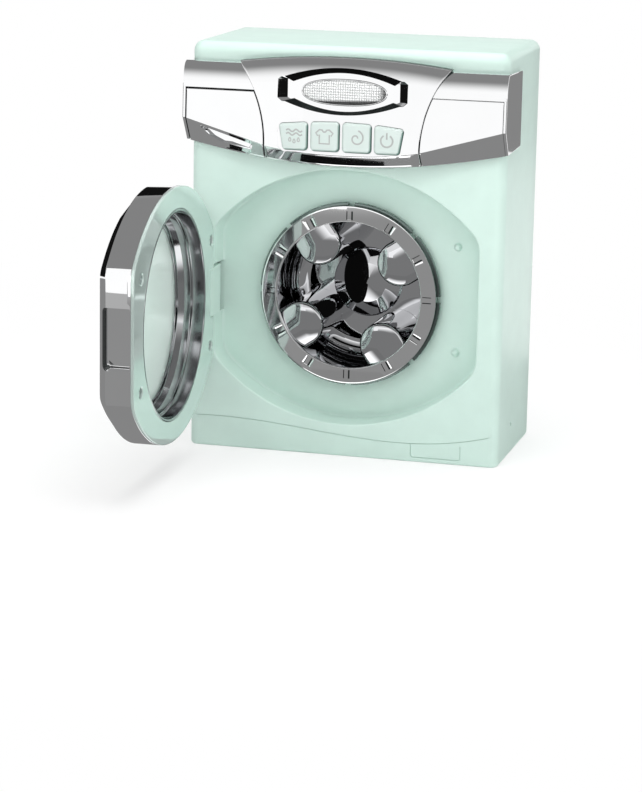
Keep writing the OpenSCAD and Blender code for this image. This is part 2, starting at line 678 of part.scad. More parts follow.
module drum_ring() color(chrome) difference() {
    about_drum() polygon([[mouth_r, ring_y], [ring_face_r - 1, ring_y], [ring_face_r, ring_y + 1],
        [ring_face_r, ring_y + 4.5], [ring_r, ring_y + 4.5], [ring_r, ring_y + 7.6], [skirt_r, ring_y + 7.6],
        [skirt_r, ring_y + ring_t], [mouth_r, ring_y + ring_t]]);
    for (i = [0:tab_count - 1]) translate([0, 0, drum_z]) rotate([0, 360 * i / tab_count, 0])
        block(ring_face_r - 0.4, ring_r + 1, ring_y + 3, ring_y + 8, -tab_gap / 2, tab_gap / 2);
    for (i = [0:notch_count - 1]) translate([0, 0, drum_z]) rotate([0, 360 * i / notch_count, 0])
        block(mouth_r + 2, ring_face_r - 2.5, ring_y - 1, ring_y + 0.9, -notch_w / 2, notch_w / 2);
}

bowl_t = 2;
lifter_turn = 34;
lifter_x = bowl_r - lifter_r;
hub_y = bowl_y1 - bowl_t - 4;
module bowl_hollow() about_drum() polygon(concat([[0, bowl_y0 - 1], [bowl_r - bowl_t, bowl_y0 - 1]],
    arc(bowl_r - bowl_t - 14, bowl_y1 - bowl_t - 14, 14, 0, 90, 8),
    [[25, bowl_y1 - bowl_t], [24, bowl_y1 - bowl_t - 2], [14, bowl_y1 - bowl_t - 4.5],
        [0, bowl_y1 - bowl_t - 6.5]]));

// A lifter is a thick paddle with a round inner edge and a domed front, its section drawn in by inset
lifter_y0 = bowl_y0 + 0.5;
function lifter_nose(r, edge, y0) = concat([[0, y0], [(r - edge) / 2, y0 + lifter_dome / 4]],
    arc(r - edge, y0 + lifter_dome + edge, edge, 270, 360, 6));
module lifter(inset, reach, end_y) {
    r = lifter_r - inset;
    nose = lifter_nose(r, lifter_edge - inset, lifter_y0 + inset);
    translate([lifter_x, 0, 0]) rotate([-90, 0, 0]) rotate_extrude($fn = 64)
        polygon(concat(nose, [[r, end_y], [0, end_y]]));
    translate([lifter_x, 0, 0]) rotate([90, 0, 90]) linear_extrude(height = reach - lifter_x)
        polygon(concat([for (p = nose) [p[1], p[0]]], [[end_y, r], [end_y, -r]],
            [for (i = [len(nose) - 1 : -1 : 1]) [nose[i][1], -nose[i][0]]]));
}
module lifters(inset, reach, end_y) for (i = [0:lifter_count - 1]) translate([0, 0, drum_z])
    rotate([0, -lifter_turn - 360 * i / lifter_count, 0]) lifter(inset, reach, end_y);

// The lifters are hollow and open towards the outside of the drum
module drum_bowl() color(chrome) difference() {
    union() {
        difference() {
            about_drum() polygon(concat([[0, bowl_y0], [bowl_r, bowl_y0]],
                arc(bowl_r - 14, bowl_y1 - 14, 14, 0, 90, 8), [[0, bowl_y1]]));
            bowl_hollow();
        }
        intersection() {
            lifters(0, bowl_r + 5, bowl_y1 - bowl_t);
            about_drum() polygon(concat([[0, bowl_y0], [bowl_r - 0.5, bowl_y0]],
                arc(bowl_r - 14.5, bowl_y1 - 14.5, 14, 0, 90, 8), [[0, bowl_y1 - 0.5]]));
        }
        rod(0, drum_z, shaft_r + 3, bowl_y1 - 1, frame_y0 - 0.4, 40);
    }
    lifters(bowl_t, bowl_r + 5, bowl_y1 - bowl_t - 1);
    rod(0, drum_z, shaft_r, hub_y, frame_y0 + 1, 40);
}

module drum_shaft() color(steel) rod(0, drum_z, shaft_r, hub_y, gear_y1 + 1, 40);

// Gear teeth with true curved flanks: the half angle of a tooth falls with the radius
pressure = 20;
function roll_angle(a) = tan(a) * 180 / PI - a;
function tooth_half(r, n, pitch_r) = 90 / n - mesh_gap / pitch_r * 45 / PI + roll_angle(pressure)
    - roll_angle(acos(min(1, pitch_r * cos(pressure) / max(r, pitch_r * cos(pressure)))));
function tooth_points(n, k) = let (pitch_r = gear_module * n / 2, root = pitch_r - 1.2 * gear_module,
    tip = pitch_r + 0.9 * gear_module, turn = 360 * k / n,
    radii = [for (i = [0:4]) root + (tip - root) * i / 4])
    concat([for (r = radii) [r * cos(turn - tooth_half(r, n, pitch_r)),
            r * sin(turn - tooth_half(r, n, pitch_r))]],
        [for (i = [4:-1:0]) let (r = radii[i]) [r * cos(turn + tooth_half(r, n, pitch_r)),
            r * sin(turn + tooth_half(r, n, pitch_r))]]);
function gear_points(n) = [for (k = [0:n - 1]) each tooth_points(n, k)];

module drum_gear() color("white") difference() {
    union() {
        translate([0, 0, drum_z]) along_y(gear_y0, gear_y1)
            polygon(turned(gear_points(drum_teeth), motor_turn));
        rod(0, drum_z, shaft_r + 3, gear_y0 - 1.6, gear_y0 + eps, 40);
    }
    rod(0, drum_z, shaft_r, gear_y0 - 3, gear_y1 + 3, 40);
    for (i = [0:5]) translate([0, 0, drum_z]) rotate([0, 60 * i, 0])
        rod(16, 0, 5.5, gear_y0 - 1, gear_y1 + 1, 40);
}

module motor_pinion() color("white") difference() {
    translate([motor_x, 0, motor_z]) along_y(gear_y0, gear_y1)
        polygon(turned(gear_points(pinion_teeth), motor_turn + 180 + 180 / pinion_teeth));
    rod(motor_x, motor_z, motor_shaft_r, gear_y0 - 1, gear_y1 + 1, 24);
}

module motor_shaft() color(steel) rod(motor_x, motor_z, motor_shaft_r, gear_y0 + 0.4, motor_y0 + 4, 24);

module motor() color(steel) difference() {
    union() {
        rod(motor_x, motor_z, motor_r, motor_y0, cover_y - 0.3, 64);
        rod(motor_x, motor_z, 3, motor_y0 - 0.8, motor_y0 + eps, 32);
    }
    rod(motor_x, motor_z, motor_shaft_r + 0.04, motor_y0 - 1, motor_y0 + 5, 24);
}

// Frame behind the drum: it carries the drum's shaft and is screwed to the back of the recess
frame_arm_x = 74;
frame_arm_z = 42;
module drum_frame() color(mint) difference() {
    union() {
        for (z = [drum_z - frame_arm_z, drum_z + frame_arm_z])
            block(-frame_arm_x - 5, frame_arm_x + 5, frame_y0, frame_y1, z - 6, z + 6);
        block(-12, 12, frame_y0, frame_y1, drum_z - frame_arm_z, drum_z + frame_arm_z);
        rod(0, drum_z, 13, frame_y0, frame_y1, 64);
        for (sx = [-1, 1], sz = [-1, 1])
            rod(sx * frame_arm_x, drum_z + sz * frame_arm_z, post_r, floor_y + wall, frame_y0 + eps, 40);
    }
    rod(0, drum_z, shaft_r + 2, frame_y0 - 1, frame_y1 + 1, 40);
}

module shaft_bush() color("goldenrod") difference() {
    rod(0, drum_z, shaft_r + 1.95, frame_y0, frame_y1 + 0.4, 40);
    rod(0, drum_z, shaft_r + 0.04, frame_y0 - 1, frame_y1 + 1, 40);
}

// The door's pieces are drawn closed and swung open together
module door_pose() translate([hinge_x, hinge_y, 0]) rotate([0, 0, -door_open])
    translate([-hinge_x, -hinge_y, 0]) children();

back_t = 2;
frame_back_y = door_back_y - back_t;
door_wall = 2.2;
window_seat_y = door_front_y + 3.2;
pocket_y0 = door_front_y + bevel_d / 2;
pocket_y1 = frame_back_y - 1;

// Chrome outer frame with its sloping front edge and the finger pocket
module door_frame() color(chrome) door_pose() difference() {
    union() {
        difference() {
            door_block(0);
            intersection() {
                along_y(door_front_y + 2.4, frame_back_y + 1) polygon(oval(door_gap + door_wall));
                hull() {
                    along_y(door_front_y + bevel_d + 1.6, frame_back_y + 1)
                        polygon(oval(door_gap + door_wall));
                    along_y(door_front_y + 2.4, door_front_y + 2.5)
                        polygon(oval(door_gap + door_wall + bevel_w - 1.4));
                }
            }
        }
        intersection() {
            pocket_form(door_wall - 0.6);
            door_block(0);
        }
        for (s = [-1, 1], x = [screw_x_hinge, screw_x_handle])
            rod(x, drum_z + s * screw_dz, 3.4, door_front_y + 2, frame_back_y, 32);
    }
    rod(0, drum_z, window_r, door_front_y - 1, door_front_y + 4, 96);
    pocket_form(0);
    for (s = [-1, 1], x = [screw_x_hinge, screw_x_handle])
        rod(x, drum_z + s * screw_dz, 1.1, frame_back_y - 10, frame_back_y + 1, 24);
    block(-oval_a, -oval_a + door_gap + 8.4, frame_back_y - 1.1, frame_back_y + 1,
        hinge_low - 0.3, hinge_high + 0.3);
}

module door_block(gap) hull() {
    along_y(door_front_y + bevel_d, frame_back_y) polygon(oval(door_gap + gap));
    along_y(door_front_y, door_front_y + 0.1) polygon(oval(door_gap + bevel_w + gap));
}

module pocket_form(grow) block(oval_a - door_gap - pocket_d - grow,
    oval_a - door_gap + (grow > 0 ? -0.4 : 1), pocket_y0 - grow, pocket_y1,
    drum_z - pocket_h / 2 - grow, drum_z + pocket_h / 2 + grow);

// Flat chrome back of the door, with a round opening and four screw holes
module door_back() color(chrome) door_pose() difference() {
    along_y(frame_back_y, door_back_y) polygon(oval(door_gap + 0.1));
    rod(0, drum_z, tunnel_r + fit_gap, frame_back_y - 1, door_back_y + 1, 128);
    for (s = [-1, 1], x = [screw_x_hinge, screw_x_handle])
        rod(x, drum_z + s * screw_dz, 3.9, frame_back_y - 1, door_back_y + 1, 32);
    block(-oval_a, -oval_a + door_gap + 8.2, frame_back_y - 1, door_back_y + 1,
        hinge_low - 0.2, hinge_high + 0.2);
}

// Stepped chrome tunnel between the back of the door and the window
module door_tunnel() color(chrome) door_pose() about_drum(128) polygon([
    [tunnel_r, door_back_y - 0.1], [tunnel_r - 1.4, door_back_y - 0.1], [tunnel_r - 1.8, door_back_y - 9],
    [tunnel_r - 3.6, door_back_y - 9.6], [tunnel_r - 4, door_back_y - 14],
    [window_r + 4, window_seat_y + window_t + 1], [window_r + 0.6, window_seat_y + window_t + 1],
    [window_r + 0.6, window_seat_y + window_t],
    [window_r + 5, window_seat_y + window_t], [tunnel_r - 2.4, door_back_y - 14.6],
    [tunnel_r - 2, door_back_y - 10.6], [tunnel_r - 0.2, door_back_y - 9.6]]);

// Clear window with a raised curved bar on its inner face
bar_r = 45;
module door_window() color([0.75, 0.87, 0.83, 0.6]) door_pose() union() {
    rod(0, drum_z, window_r + 4.4, window_seat_y, window_seat_y + window_t - 0.1, 128);
    rod(0, drum_z, window_r - 0.4, door_front_y + 1, window_seat_y + eps, 128);
    intersection() {
        about_drum(128) polygon([
            [bar_r, window_seat_y + window_t - 0.2], [bar_r + 2.6, window_seat_y + window_t - 0.2],
            [bar_r + 2.2, window_seat_y + window_t + 0.8], [bar_r + 0.4, window_seat_y + window_t + 0.8]]);
        translate([0, 0, drum_z]) along_y(door_front_y, door_back_y)
            polygon([[0, 0], [60, 60], [80, 0], [60, -60]]);
    }
}

module door_screws() color(steel) door_pose() for (s = [-1, 1], x = [screw_x_hinge, screw_x_handle]) {
    z = drum_z + s * screw_dz;
    rod(x, z, 3.2, frame_back_y + 0.05, frame_back_y + 0.6, 24);
    rod(x, z, 1.05, frame_back_y - 8, frame_back_y + 0.05 + eps, 24);
}

// Goose-neck arm: from the eye on the pin, round the recess edge, to its seat in the door
module hinge_arm() color(mint) door_pose() difference() {
    union() {
        translate([hinge_x, hinge_y, hinge_low]) cylinder(r = hinge_eye_r, h = hinge_h, $fn = 40);
        block(hinge_x - hinge_eye_r, hinge_x + hinge_eye_r, hinge_y, door_back_y - 0.1,
            hinge_low, hinge_high);
        block(hinge_x - hinge_eye_r, -oval_a + door_gap + 8, door_back_y - 0.1 - hinge_arm_t,
            door_back_y - 0.1, hinge_low, hinge_high);
    }
    translate([hinge_x, hinge_y, hinge_low - 1]) cylinder(r = hinge_pin_r + 0.05, h = hinge_h + 2, $fn = 32);
}

module hinge_pin() color(steel) translate([hinge_x, hinge_y, hinge_low - 10.8])
    cylinder(r = hinge_pin_r, h = hinge_h + 21.6, $fn = 32);

// Screws that hold the rear cover and the battery door
module case_screws() color(steel) {
    for (p = post_places) screw(p[0], p[1], cover_y + cover_t - head_t - 0.1);
    screw(0, lid_screw_z, cover_y + cover_t - lid_sink + 0.1);
}

module screw(x, z, head_y) {
    rod(x, z, head_r, head_y, head_y + head_t, 24);
    rod(x, z, screw_r - 0.1, head_y - 9, head_y + eps, 24);
}

front_shell();
rear_cover();
battery_door();
batteries();
battery_contacts();
panel_frame();
panel_centre();
panel_right();
drawer_front();
drawer_tray();
drawer_guide();
lens_bezel();
light_lens();
led_lamp();
circuit_board();
speaker();
button_1();
button_2();
button_3();
button_4();
button_switches();
drum_ring();
drum_bowl();
drum_shaft();
drum_gear();
drum_frame();
shaft_bush();
motor();
motor_shaft();
motor_pinion();
door_frame();
door_back();
door_tunnel();
door_window();
door_screws();
hinge_arm();
hinge_pin();
case_screws();
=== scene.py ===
"""Looks of a toy front-loading washing machine: mint plastic, mirror chrome and clear plastic."""
from math import acos, asin, atan2, copysign, cos, degrees, hypot, pi, radians as rad, sin, sqrt, tan
import bpy
import bmesh
import numpy as np
from mathutils import Vector, Matrix
from mathutils.geometry import delaunay_2d_cdt


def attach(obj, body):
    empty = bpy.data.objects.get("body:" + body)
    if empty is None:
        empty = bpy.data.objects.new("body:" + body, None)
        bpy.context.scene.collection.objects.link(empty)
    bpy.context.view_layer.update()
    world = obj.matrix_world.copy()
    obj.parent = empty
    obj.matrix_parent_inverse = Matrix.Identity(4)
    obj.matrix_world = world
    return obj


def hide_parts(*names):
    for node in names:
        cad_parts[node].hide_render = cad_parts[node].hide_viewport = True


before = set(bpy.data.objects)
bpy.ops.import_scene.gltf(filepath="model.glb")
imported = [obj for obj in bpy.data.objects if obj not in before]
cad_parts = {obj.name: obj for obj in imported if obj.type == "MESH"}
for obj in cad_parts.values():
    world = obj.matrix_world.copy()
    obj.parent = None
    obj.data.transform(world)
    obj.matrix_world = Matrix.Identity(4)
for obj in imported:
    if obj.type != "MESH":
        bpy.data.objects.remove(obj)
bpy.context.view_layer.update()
scene = bpy.context.scene

# Sizes of the part, in millimetres
H = 285.0
FRONT, BACK, SIDE = -55.0, 55.0, 111.0
WALL, EDGE_R, BACK_R = 2.4, 7.0, 1.6
OVAL_A, OVAL_B, OVAL_FLAT, OVAL_R = 94.0, 89.0, 37.0, 20.0
DRUM_Z, FLOOR_Y, OPENING_R = 112.0, -33.0, 60.6
HINGE_X, HINGE_Y, DOOR_OPEN = -105.0, -47.5, 89.0
DOOR_BACK, DOOR_FRONT, FRAME_BACK = -34.5, -59.5, -36.5
TUNNEL_R, WINDOW_R, WINDOW_SEAT = 71.0, 62.0, -56.3
RING_Y, RING_R, MOUTH_R = -43.0, 64.5, 51.5
BOWL_R, BOWL_Y0, BOWL_Y1 = 58.0, -40.5, 17.0
LIFTER_R, LIFTER_TURN, LIFTER_DOME, LIFTER_EDGE = 16.0, 34.0, 2.2, 3.0
LIFTER_X = BOWL_R - LIFTER_R
PANEL_TOP, PANEL_LOW, PANEL_HALF = 272.0, 205.0, 113.0
BREAK_Z, BREAK_Y, TOP_Y, LOW_Y = 255.0, -68.76, -61.72, -71.0
STRIP_Z, SEAM_R, SEAM_X, SEAM_Z = 254.5, 88.0, 142.0, 218.0
SMILE_R, CROWN_R, CROWN_RISE = 522.0, 544.0, 6.5
CREASE_X, CREASE_Z, CREASE_MID, CREASE_RISE, TILT = 54.0, 218.0, 213.4, 4.6, rad(17)
UNDER_SLOPE = 0.7 * cos(TILT)
CENTRE_OUT, LENS_Z, LENS_A, LENS_B = 1.2, 256.0, 30.0, 9.2
LENS_IN, LENS_FLOOR = (0.5, LENS_Z - 0.6), LOW_Y - CENTRE_OUT + 6
BUTTON_W, BUTTON_GAP, BUTTON_Z0, BUTTON_Z1 = 20.0, 2.2, 215.5, 234.5
ROW = 4 * BUTTON_W + 3 * BUTTON_GAP
POCKET_FLOOR, BUTTON_FACE, BUTTON_BACK, FLANGE_BACK = -71.0, -73.2, -68.6, -67.5
SCREWS = [(x, DRUM_Z + s * OVAL_FLAT) for x in (-84.0, 75.0) for s in (-1, 1)]

QUAD = [(0, 1, 2, 3)]
WHITE = (1, 1, 1, 1)
PLATED = "chrome_plated_plastic"


def add_object(name, data):
    ob = bpy.data.objects.new(name, data)
    scene.collection.objects.link(ob)
    return ob


# Camera, fitted to the corners of the cabinet
def set_camera():
    azimuth, elevation, roll, distance = rad(14.811), rad(12.749), rad(1.074), 2.0088
    aim = Vector((-0.029376, 0, 0.029022))
    focal_pixels, photo_width, film_width = 2800, 642, 36
    back = Vector((sin(azimuth) * cos(elevation), -cos(azimuth) * cos(elevation),
                   sin(elevation)))
    right = Vector((cos(azimuth), sin(azimuth), 0))
    up = back.cross(right)
    rolled = right * cos(roll) + up * sin(roll), up * cos(roll) - right * sin(roll)
    m = Matrix((*rolled, back)).transposed().to_4x4()
    m.translation = aim + back * distance
    cam = bpy.data.cameras.new("camera")
    cam.sensor_fit = "HORIZONTAL"
    cam.sensor_width = film_width
    cam.lens = focal_pixels * film_width / photo_width
    cam.clip_end = 50
    ob = add_object("camera", cam)
    ob.matrix_world = m
    scene.camera = ob


# Nodes
def node(nt, kind, inputs=(), **settings):
    """A new node; each input takes a value, or the output that it is linked to."""
    n = nt.nodes.new("ShaderNode" + kind)
    for key, v in settings.items():
        setattr(n, key, v)
    for key, v in dict(inputs).items():
        if isinstance(v, bpy.types.NodeSocket):
            nt.links.new(v, n.inputs[key])
        else:
            n.inputs[key].default_value = v
    return n


def place_of(nt):
    """The coordinates of a point in its object."""
    return node(nt, "TexCoord").outputs["Object"]


def calc(nt, operation, *values):
    return node(nt, "Math", enumerate(values), operation=operation).outputs[0]


def map_range(nt, value, start, end, low=0.0, high=1.0, curve="LINEAR"):
    """Turns the range from start to end into the range from low to high."""
    return node(nt, "MapRange", {"Value": value, "From Min": start, "From Max": end, "To Min": low,
                                 "To Max": high}, interpolation_type=curve).outputs["Result"]


def mix_colour(nt, amount, a, b):
    return node(nt, "Mix", {0: amount, 6: a, 7: b}, data_type="RGBA").outputs[2]


def ramp(nt, value, *stops):
    """A colour ramp between two stops, each a position and a colour."""
    r = node(nt, "ValToRGB", {"Fac": value})
    for stop, (position, colour) in zip(r.color_ramp.elements, stops):
        stop.position, stop.color = position, (*colour, 1)
    return r.outputs["Color"]


def add_noise(nt, scale, detail=3.0):
    return node(nt, "TexNoise", {"Scale": scale, "Detail": detail, "Vector": place_of(nt)}).outputs["Fac"]


def add_bump(nt, p, height, strength, distance):
    b = node(nt, "Bump", {"Strength": strength, "Distance": distance, "Height": height})
    nt.links.new(b.outputs["Normal"], p.inputs["Normal"])


def vary_colour(nt, p, noise, dark, light):
    nt.links.new(ramp(nt, noise, (0.3, dark), (0.7, light)), p.inputs["Base Color"])


def vary_rough(nt, p, noise, low, high):
    nt.links.new(map_range(nt, noise, 0.0, 1.0, low, high), p.inputs["Roughness"])


# Materials
def new_mat(name, colour, **values):
    m = bpy.data.materials.new(name)
    m.use_nodes = True
    nt = m.node_tree
    p = nt.nodes["Principled BSDF"]
    p.inputs["Base Color"].default_value = (*colour, 1)
    for k, v in values.items():
        p.inputs[k.replace("_", " ").title().replace("Ior", "IOR")].default_value = v
    return m, nt, p


def plastic(name, colour, rough=0.34, spread=0.02, bump=0.05, coat=0.25, scale=60):
    m, nt, p = new_mat(name, colour, roughness=rough, coat_weight=coat, coat_roughness=0.12, ior=1.5)
    dark, light = [c * (1 - spread) for c in colour], [min(1, c * (1 + spread)) for c in colour]
    vary_colour(nt, p, add_noise(nt, scale), dark, light)
    fine = add_noise(nt, 2600, 2)
    vary_rough(nt, p, fine, rough - 0.05, rough + 0.06)
    add_bump(nt, p, fine, bump, 0.00005)
    return m


def chrome_mat(name, colour, low, high, wave=0.04, metal=1.0):
    m, nt, p = new_mat(name, colour, metallic=metal, roughness=low)
    n = add_noise(nt, 45, 2)
    vary_colour(nt, p, n, [c * 0.985 for c in colour], colour)
    vary_rough(nt, p, add_noise(nt, 900, 3), low, high)
    if wave:
        add_bump(nt, p, n, wave, 0.0001)
    return m


def paint_side_shade(m, dark, low, high):
    """Paints shade onto a plastic: it turns darker on the faces that look right and down."""
    nt = m.node_tree
    base = nt.nodes["Principled BSDF"].inputs["Base Color"]
    normal = node(nt, "NewGeometry").outputs["Normal"]
    dot = node(nt, "VectorMath", {0: normal, 1: (0.75, 0.0, -0.66)}, operation="DOT_PRODUCT")
    amount = map_range(nt, dot.outputs["Value"], low, high)
    nt.links.new(mix_colour(nt, amount, base.links[0].from_socket, (*dark, 1)), base)


def window_material():
    m, nt, p = new_mat("tinted_window", (0.70, 0.86, 0.80), roughness=0.22, ior=1.3,
                       transmission_weight=0.45, coat_weight=0.0)
    n = add_noise(nt, 30)
    vary_colour(nt, p, n, (0.87, 0.99, 0.94), (0.90, 1.0, 0.965))
    add_bump(nt, p, n, 0.03, 0.0001)
    return m


def lens_material():
    """Clear plastic with fine facets, with painted shade: dark in the creases between the facets and towards its
    lower and right edges.
    """
    m, nt, p = new_mat("textured_lens", (0.86, 0.87, 0.87), roughness=0.12, ior=1.45,
                       transmission_weight=0.08, coat_weight=0.5, coat_roughness=0.05)
    xyz = node(nt, "SeparateXYZ", {0: place_of(nt)}).outputs
    waves = [calc(nt, "ABSOLUTE", calc(nt, "SINE", calc(nt, "MULTIPLY", xyz[axis], pi / pitch)))
             for axis, pitch in (("X", 0.00165), ("Z", 0.0018))]
    low = calc(nt, "MINIMUM", *waves)
    add_bump(nt, p, low, 0.8, 0.0004)
    # painted shade: the creases between the facets are darker
    facets = ramp(nt, low, (0.0, (0.22, 0.23, 0.23)), (0.42, (0.96, 0.97, 0.97)))
    # painted shade: darker towards the lens's lower and right edges
    across = calc(nt, "MULTIPLY", calc(nt, "SUBTRACT", xyz["X"], LENS_IN[0] * 0.001), 1000 / LENS_A)
    down = calc(nt, "MULTIPLY", calc(nt, "SUBTRACT", LENS_IN[1] * 0.001, xyz["Z"]), 1000 / LENS_B)
    edge = calc(nt, "MAXIMUM", calc(nt, "ADD", down, calc(nt, "MULTIPLY", across, 0.12)),
                calc(nt, "SUBTRACT", across, 0.28))
    shade = map_range(nt, edge, 0.5, 0.68, 1.0, 0.06)
    nt.links.new(mix_colour(nt, shade, (0.02, 0.02, 0.02, 1), facets), p.inputs["Base Color"])
    return m


MINT = (0.640, 0.815, 0.745)
mint = plastic("mint_plastic", MINT, coat=0.04)
mint_inner = plastic("mint_inner", [c * 0.97 for c in MINT], 0.45)
button_mat = plastic("button_plastic", (0.60, 0.685, 0.655), 0.30, 0.012, 0.03, 0.3)
chrome = chrome_mat("chrome_plating", (0.975, 0.98, 0.985), 0.015, 0.05)
chrome_drum = chrome_mat("chrome_drum", (0.66, 0.665, 0.68), 0.01, 0.03, 0)
# the door's back plate: half metal and tinted mint, a painted reflection of the mint cabinet front
chrome_plate = chrome_mat("chrome_plate", (0.70, 0.83, 0.785), 0.04, 0.08, 0, 0.5)
chrome_tunnel = chrome_mat("chrome_tunnel", (0.52, 0.53, 0.54), 0.06, 0.12, 0)
# painted shade: dark chrome for the walls, grooves and gaps that lie in shade
chrome_dark = chrome_mat("chrome_shaded", (0.05, 0.06, 0.058), 0.25, 0.4)
# painted shade and reflection: a dark green-grey chrome for the ring's outer edge, where it mirrors the shaded mint
chrome_edge_shade = chrome_mat("chrome_edge_shade", (0.20, 0.25, 0.235), 0.15, 0.25)
shaded_chrome = [chrome, chrome_dark]
steel = chrome_mat("steel", (0.60, 0.61, 0.63), 0.22, 0.34, 0.1)
brass = chrome_mat("bush_metal", (0.72, 0.55, 0.26), 0.2, 0.3, 0.1)
white_plastic = plastic("white_plastic", (0.84, 0.84, 0.82), 0.42)
dark_plastic = plastic("dark_plastic", (0.018, 0.018, 0.02), 0.45)
board_mat = plastic("board_green", (0.05, 0.20, 0.10), 0.4, 0.12, 0.1, 0.5, 240)
icon_mat = plastic("icon_grey", (0.40, 0.42, 0.41), 0.4)
cell_mat = plastic("cell_wrap", (0.05, 0.09, 0.08), 0.3)
# painted shade on the buttons' faces that look right and down
paint_side_shade(button_mat, (0.10, 0.20, 0.17), 0.12, 0.62)
window_mat = window_material()
lens_mat = lens_material()


# Outlines and profiles
def arc(cx, cy, r, a0, a1, n):
    turns = [rad(a0 + (a1 - a0) * i / n) for i in range(n + 1)]
    return [(cx + r * cos(t), cy + r * sin(t)) for t in turns]


def round_corners(corners, n):
    """A quarter arc of each radius r round each (x, z, r) centre, from the upper right one to the left."""
    return [p for i, (x, z, r) in enumerate(corners) for p in arc(x, z, r, 90 * i, 90 * i + 90, n)]


# the oval's long arcs: how far their centres lie beyond the middle, their radius, and where they begin
OVAL_OFF = ((OVAL_A - OVAL_R) ** 2 + OVAL_FLAT ** 2 - (OVAL_B - OVAL_R) ** 2) / (2 * (OVAL_B - OVAL_R - OVAL_FLAT))
LONG_R = OVAL_B + OVAL_OFF
TURN = degrees(atan2(OVAL_FLAT + OVAL_OFF, OVAL_A - OVAL_R))


def oval(gap, n1=14, n2=60, n3=6):
    """The outline of the door's recess, moved in by the gap."""
    c, f, r, q, k = OVAL_A - OVAL_R, OVAL_FLAT, OVAL_R - gap, LONG_R - gap, OVAL_OFF
    flat = [-f + 2 * f * i / n3 for i in range(1, n3)]
    pts = (arc(c, f, r, 0, TURN, n1) + arc(0, -k, q, TURN, 180 - TURN, n2)[1:]
           + arc(-c, f, r, 180 - TURN, 180, n1)[1:] + [(gap - OVAL_A, -z) for z in flat]
           + arc(-c, -f, r, 180, 180 + TURN, n1) + arc(0, k, q, 180 + TURN, 360 - TURN, n2)[1:]
           + arc(c, -f, r, 360 - TURN, 360, n1)[1:] + [(OVAL_A - gap, z) for z in flat])
    return [(x, z + DRUM_Z) for x, z in pts]


def rrect(x0, x1, z0, z1, r_top, r_low, n=8):
    r, q = max(r_top, 0.01), max(r_low, 0.01)
    return round_corners([(x1 - r, z1 - r, r), (x0 + r, z1 - r, r), (x0 + q, z0 + q, q), (x1 - q, z0 + q, q)], n)


def circle(r, n=192, cx=0.0, cz=DRUM_Z):
    return [(cx + r * cos(2 * pi * i / n), cz + r * sin(2 * pi * i / n)) for i in range(n)]


def soft(points, steps=6):
    """A line through (u, v, r) points, with its corners rounded to the radius r."""
    out = []
    for i, (u, v, r) in enumerate(points):
        if r <= 0 or i in (0, len(points) - 1):
            out.append((u, v))
            continue
        p = np.array((u, v), float)
        a = np.array(points[i - 1][:2], float) - p
        b = np.array(points[i + 1][:2], float) - p
        la, lb = np.linalg.norm(a), np.linalg.norm(b)
        a, b = a / la, b / lb
        half = acos(max(-1, min(1, float(a @ b)))) / 2
        t = min(r / tan(half), la * 0.49, lb * 0.49)
        c = p + (a + b) / np.linalg.norm(a + b) * t / cos(half)
        s, e = p + a * t - c, p + b * t - c
        a0, a1 = atan2(s[1], s[0]), atan2(e[1], e[0])
        d = (a1 - a0 + pi) % (2 * pi) - pi
        q = np.linalg.norm(s)
        turns = [a0 + d * k / steps for k in range(steps + 1)]
        out += [(c[0] + q * cos(t), c[1] + q * sin(t)) for t in turns]
    return out


def normals(points, closed=False):
    """Unit normals of a line of points."""
    p = np.array(points, float)
    if closed:
        t = np.roll(p, -1, 0) - np.roll(p, 1, 0)
    else:
        t = np.concatenate([p[1:], p[-1:]]) - np.concatenate([p[:1], p[:-1]])
    t /= np.maximum(np.linalg.norm(t, axis=1), 1e-9)[:, None]
    return np.stack([-t[:, 1], t[:, 0]], 1)


def flat_ring(points, y):
    """Outline points (x, z) at the depth y."""
    return np.array([(x, y, z) for x, z in points], float)


def flat_rings(outline, profile):
    """A ring for each (size, y) of a profile, from an outline function of the size."""
    return [flat_ring(outline(size), y) for size, y in profile]


def inside(x, z, poly):
    """Even-odd test of many points against a polygon."""
    hit = np.zeros(x.shape, bool)
    p = np.asarray(poly, float)
    for (x0, z0), (x1, z1) in zip(p, np.roll(p, -1, 0)):
        c = (z0 > z) != (z1 > z)
        hit ^= c & (x < (x1 - x0) * (z - z0) / ((z1 - z0) or 1e-12) + x0)
    return hit


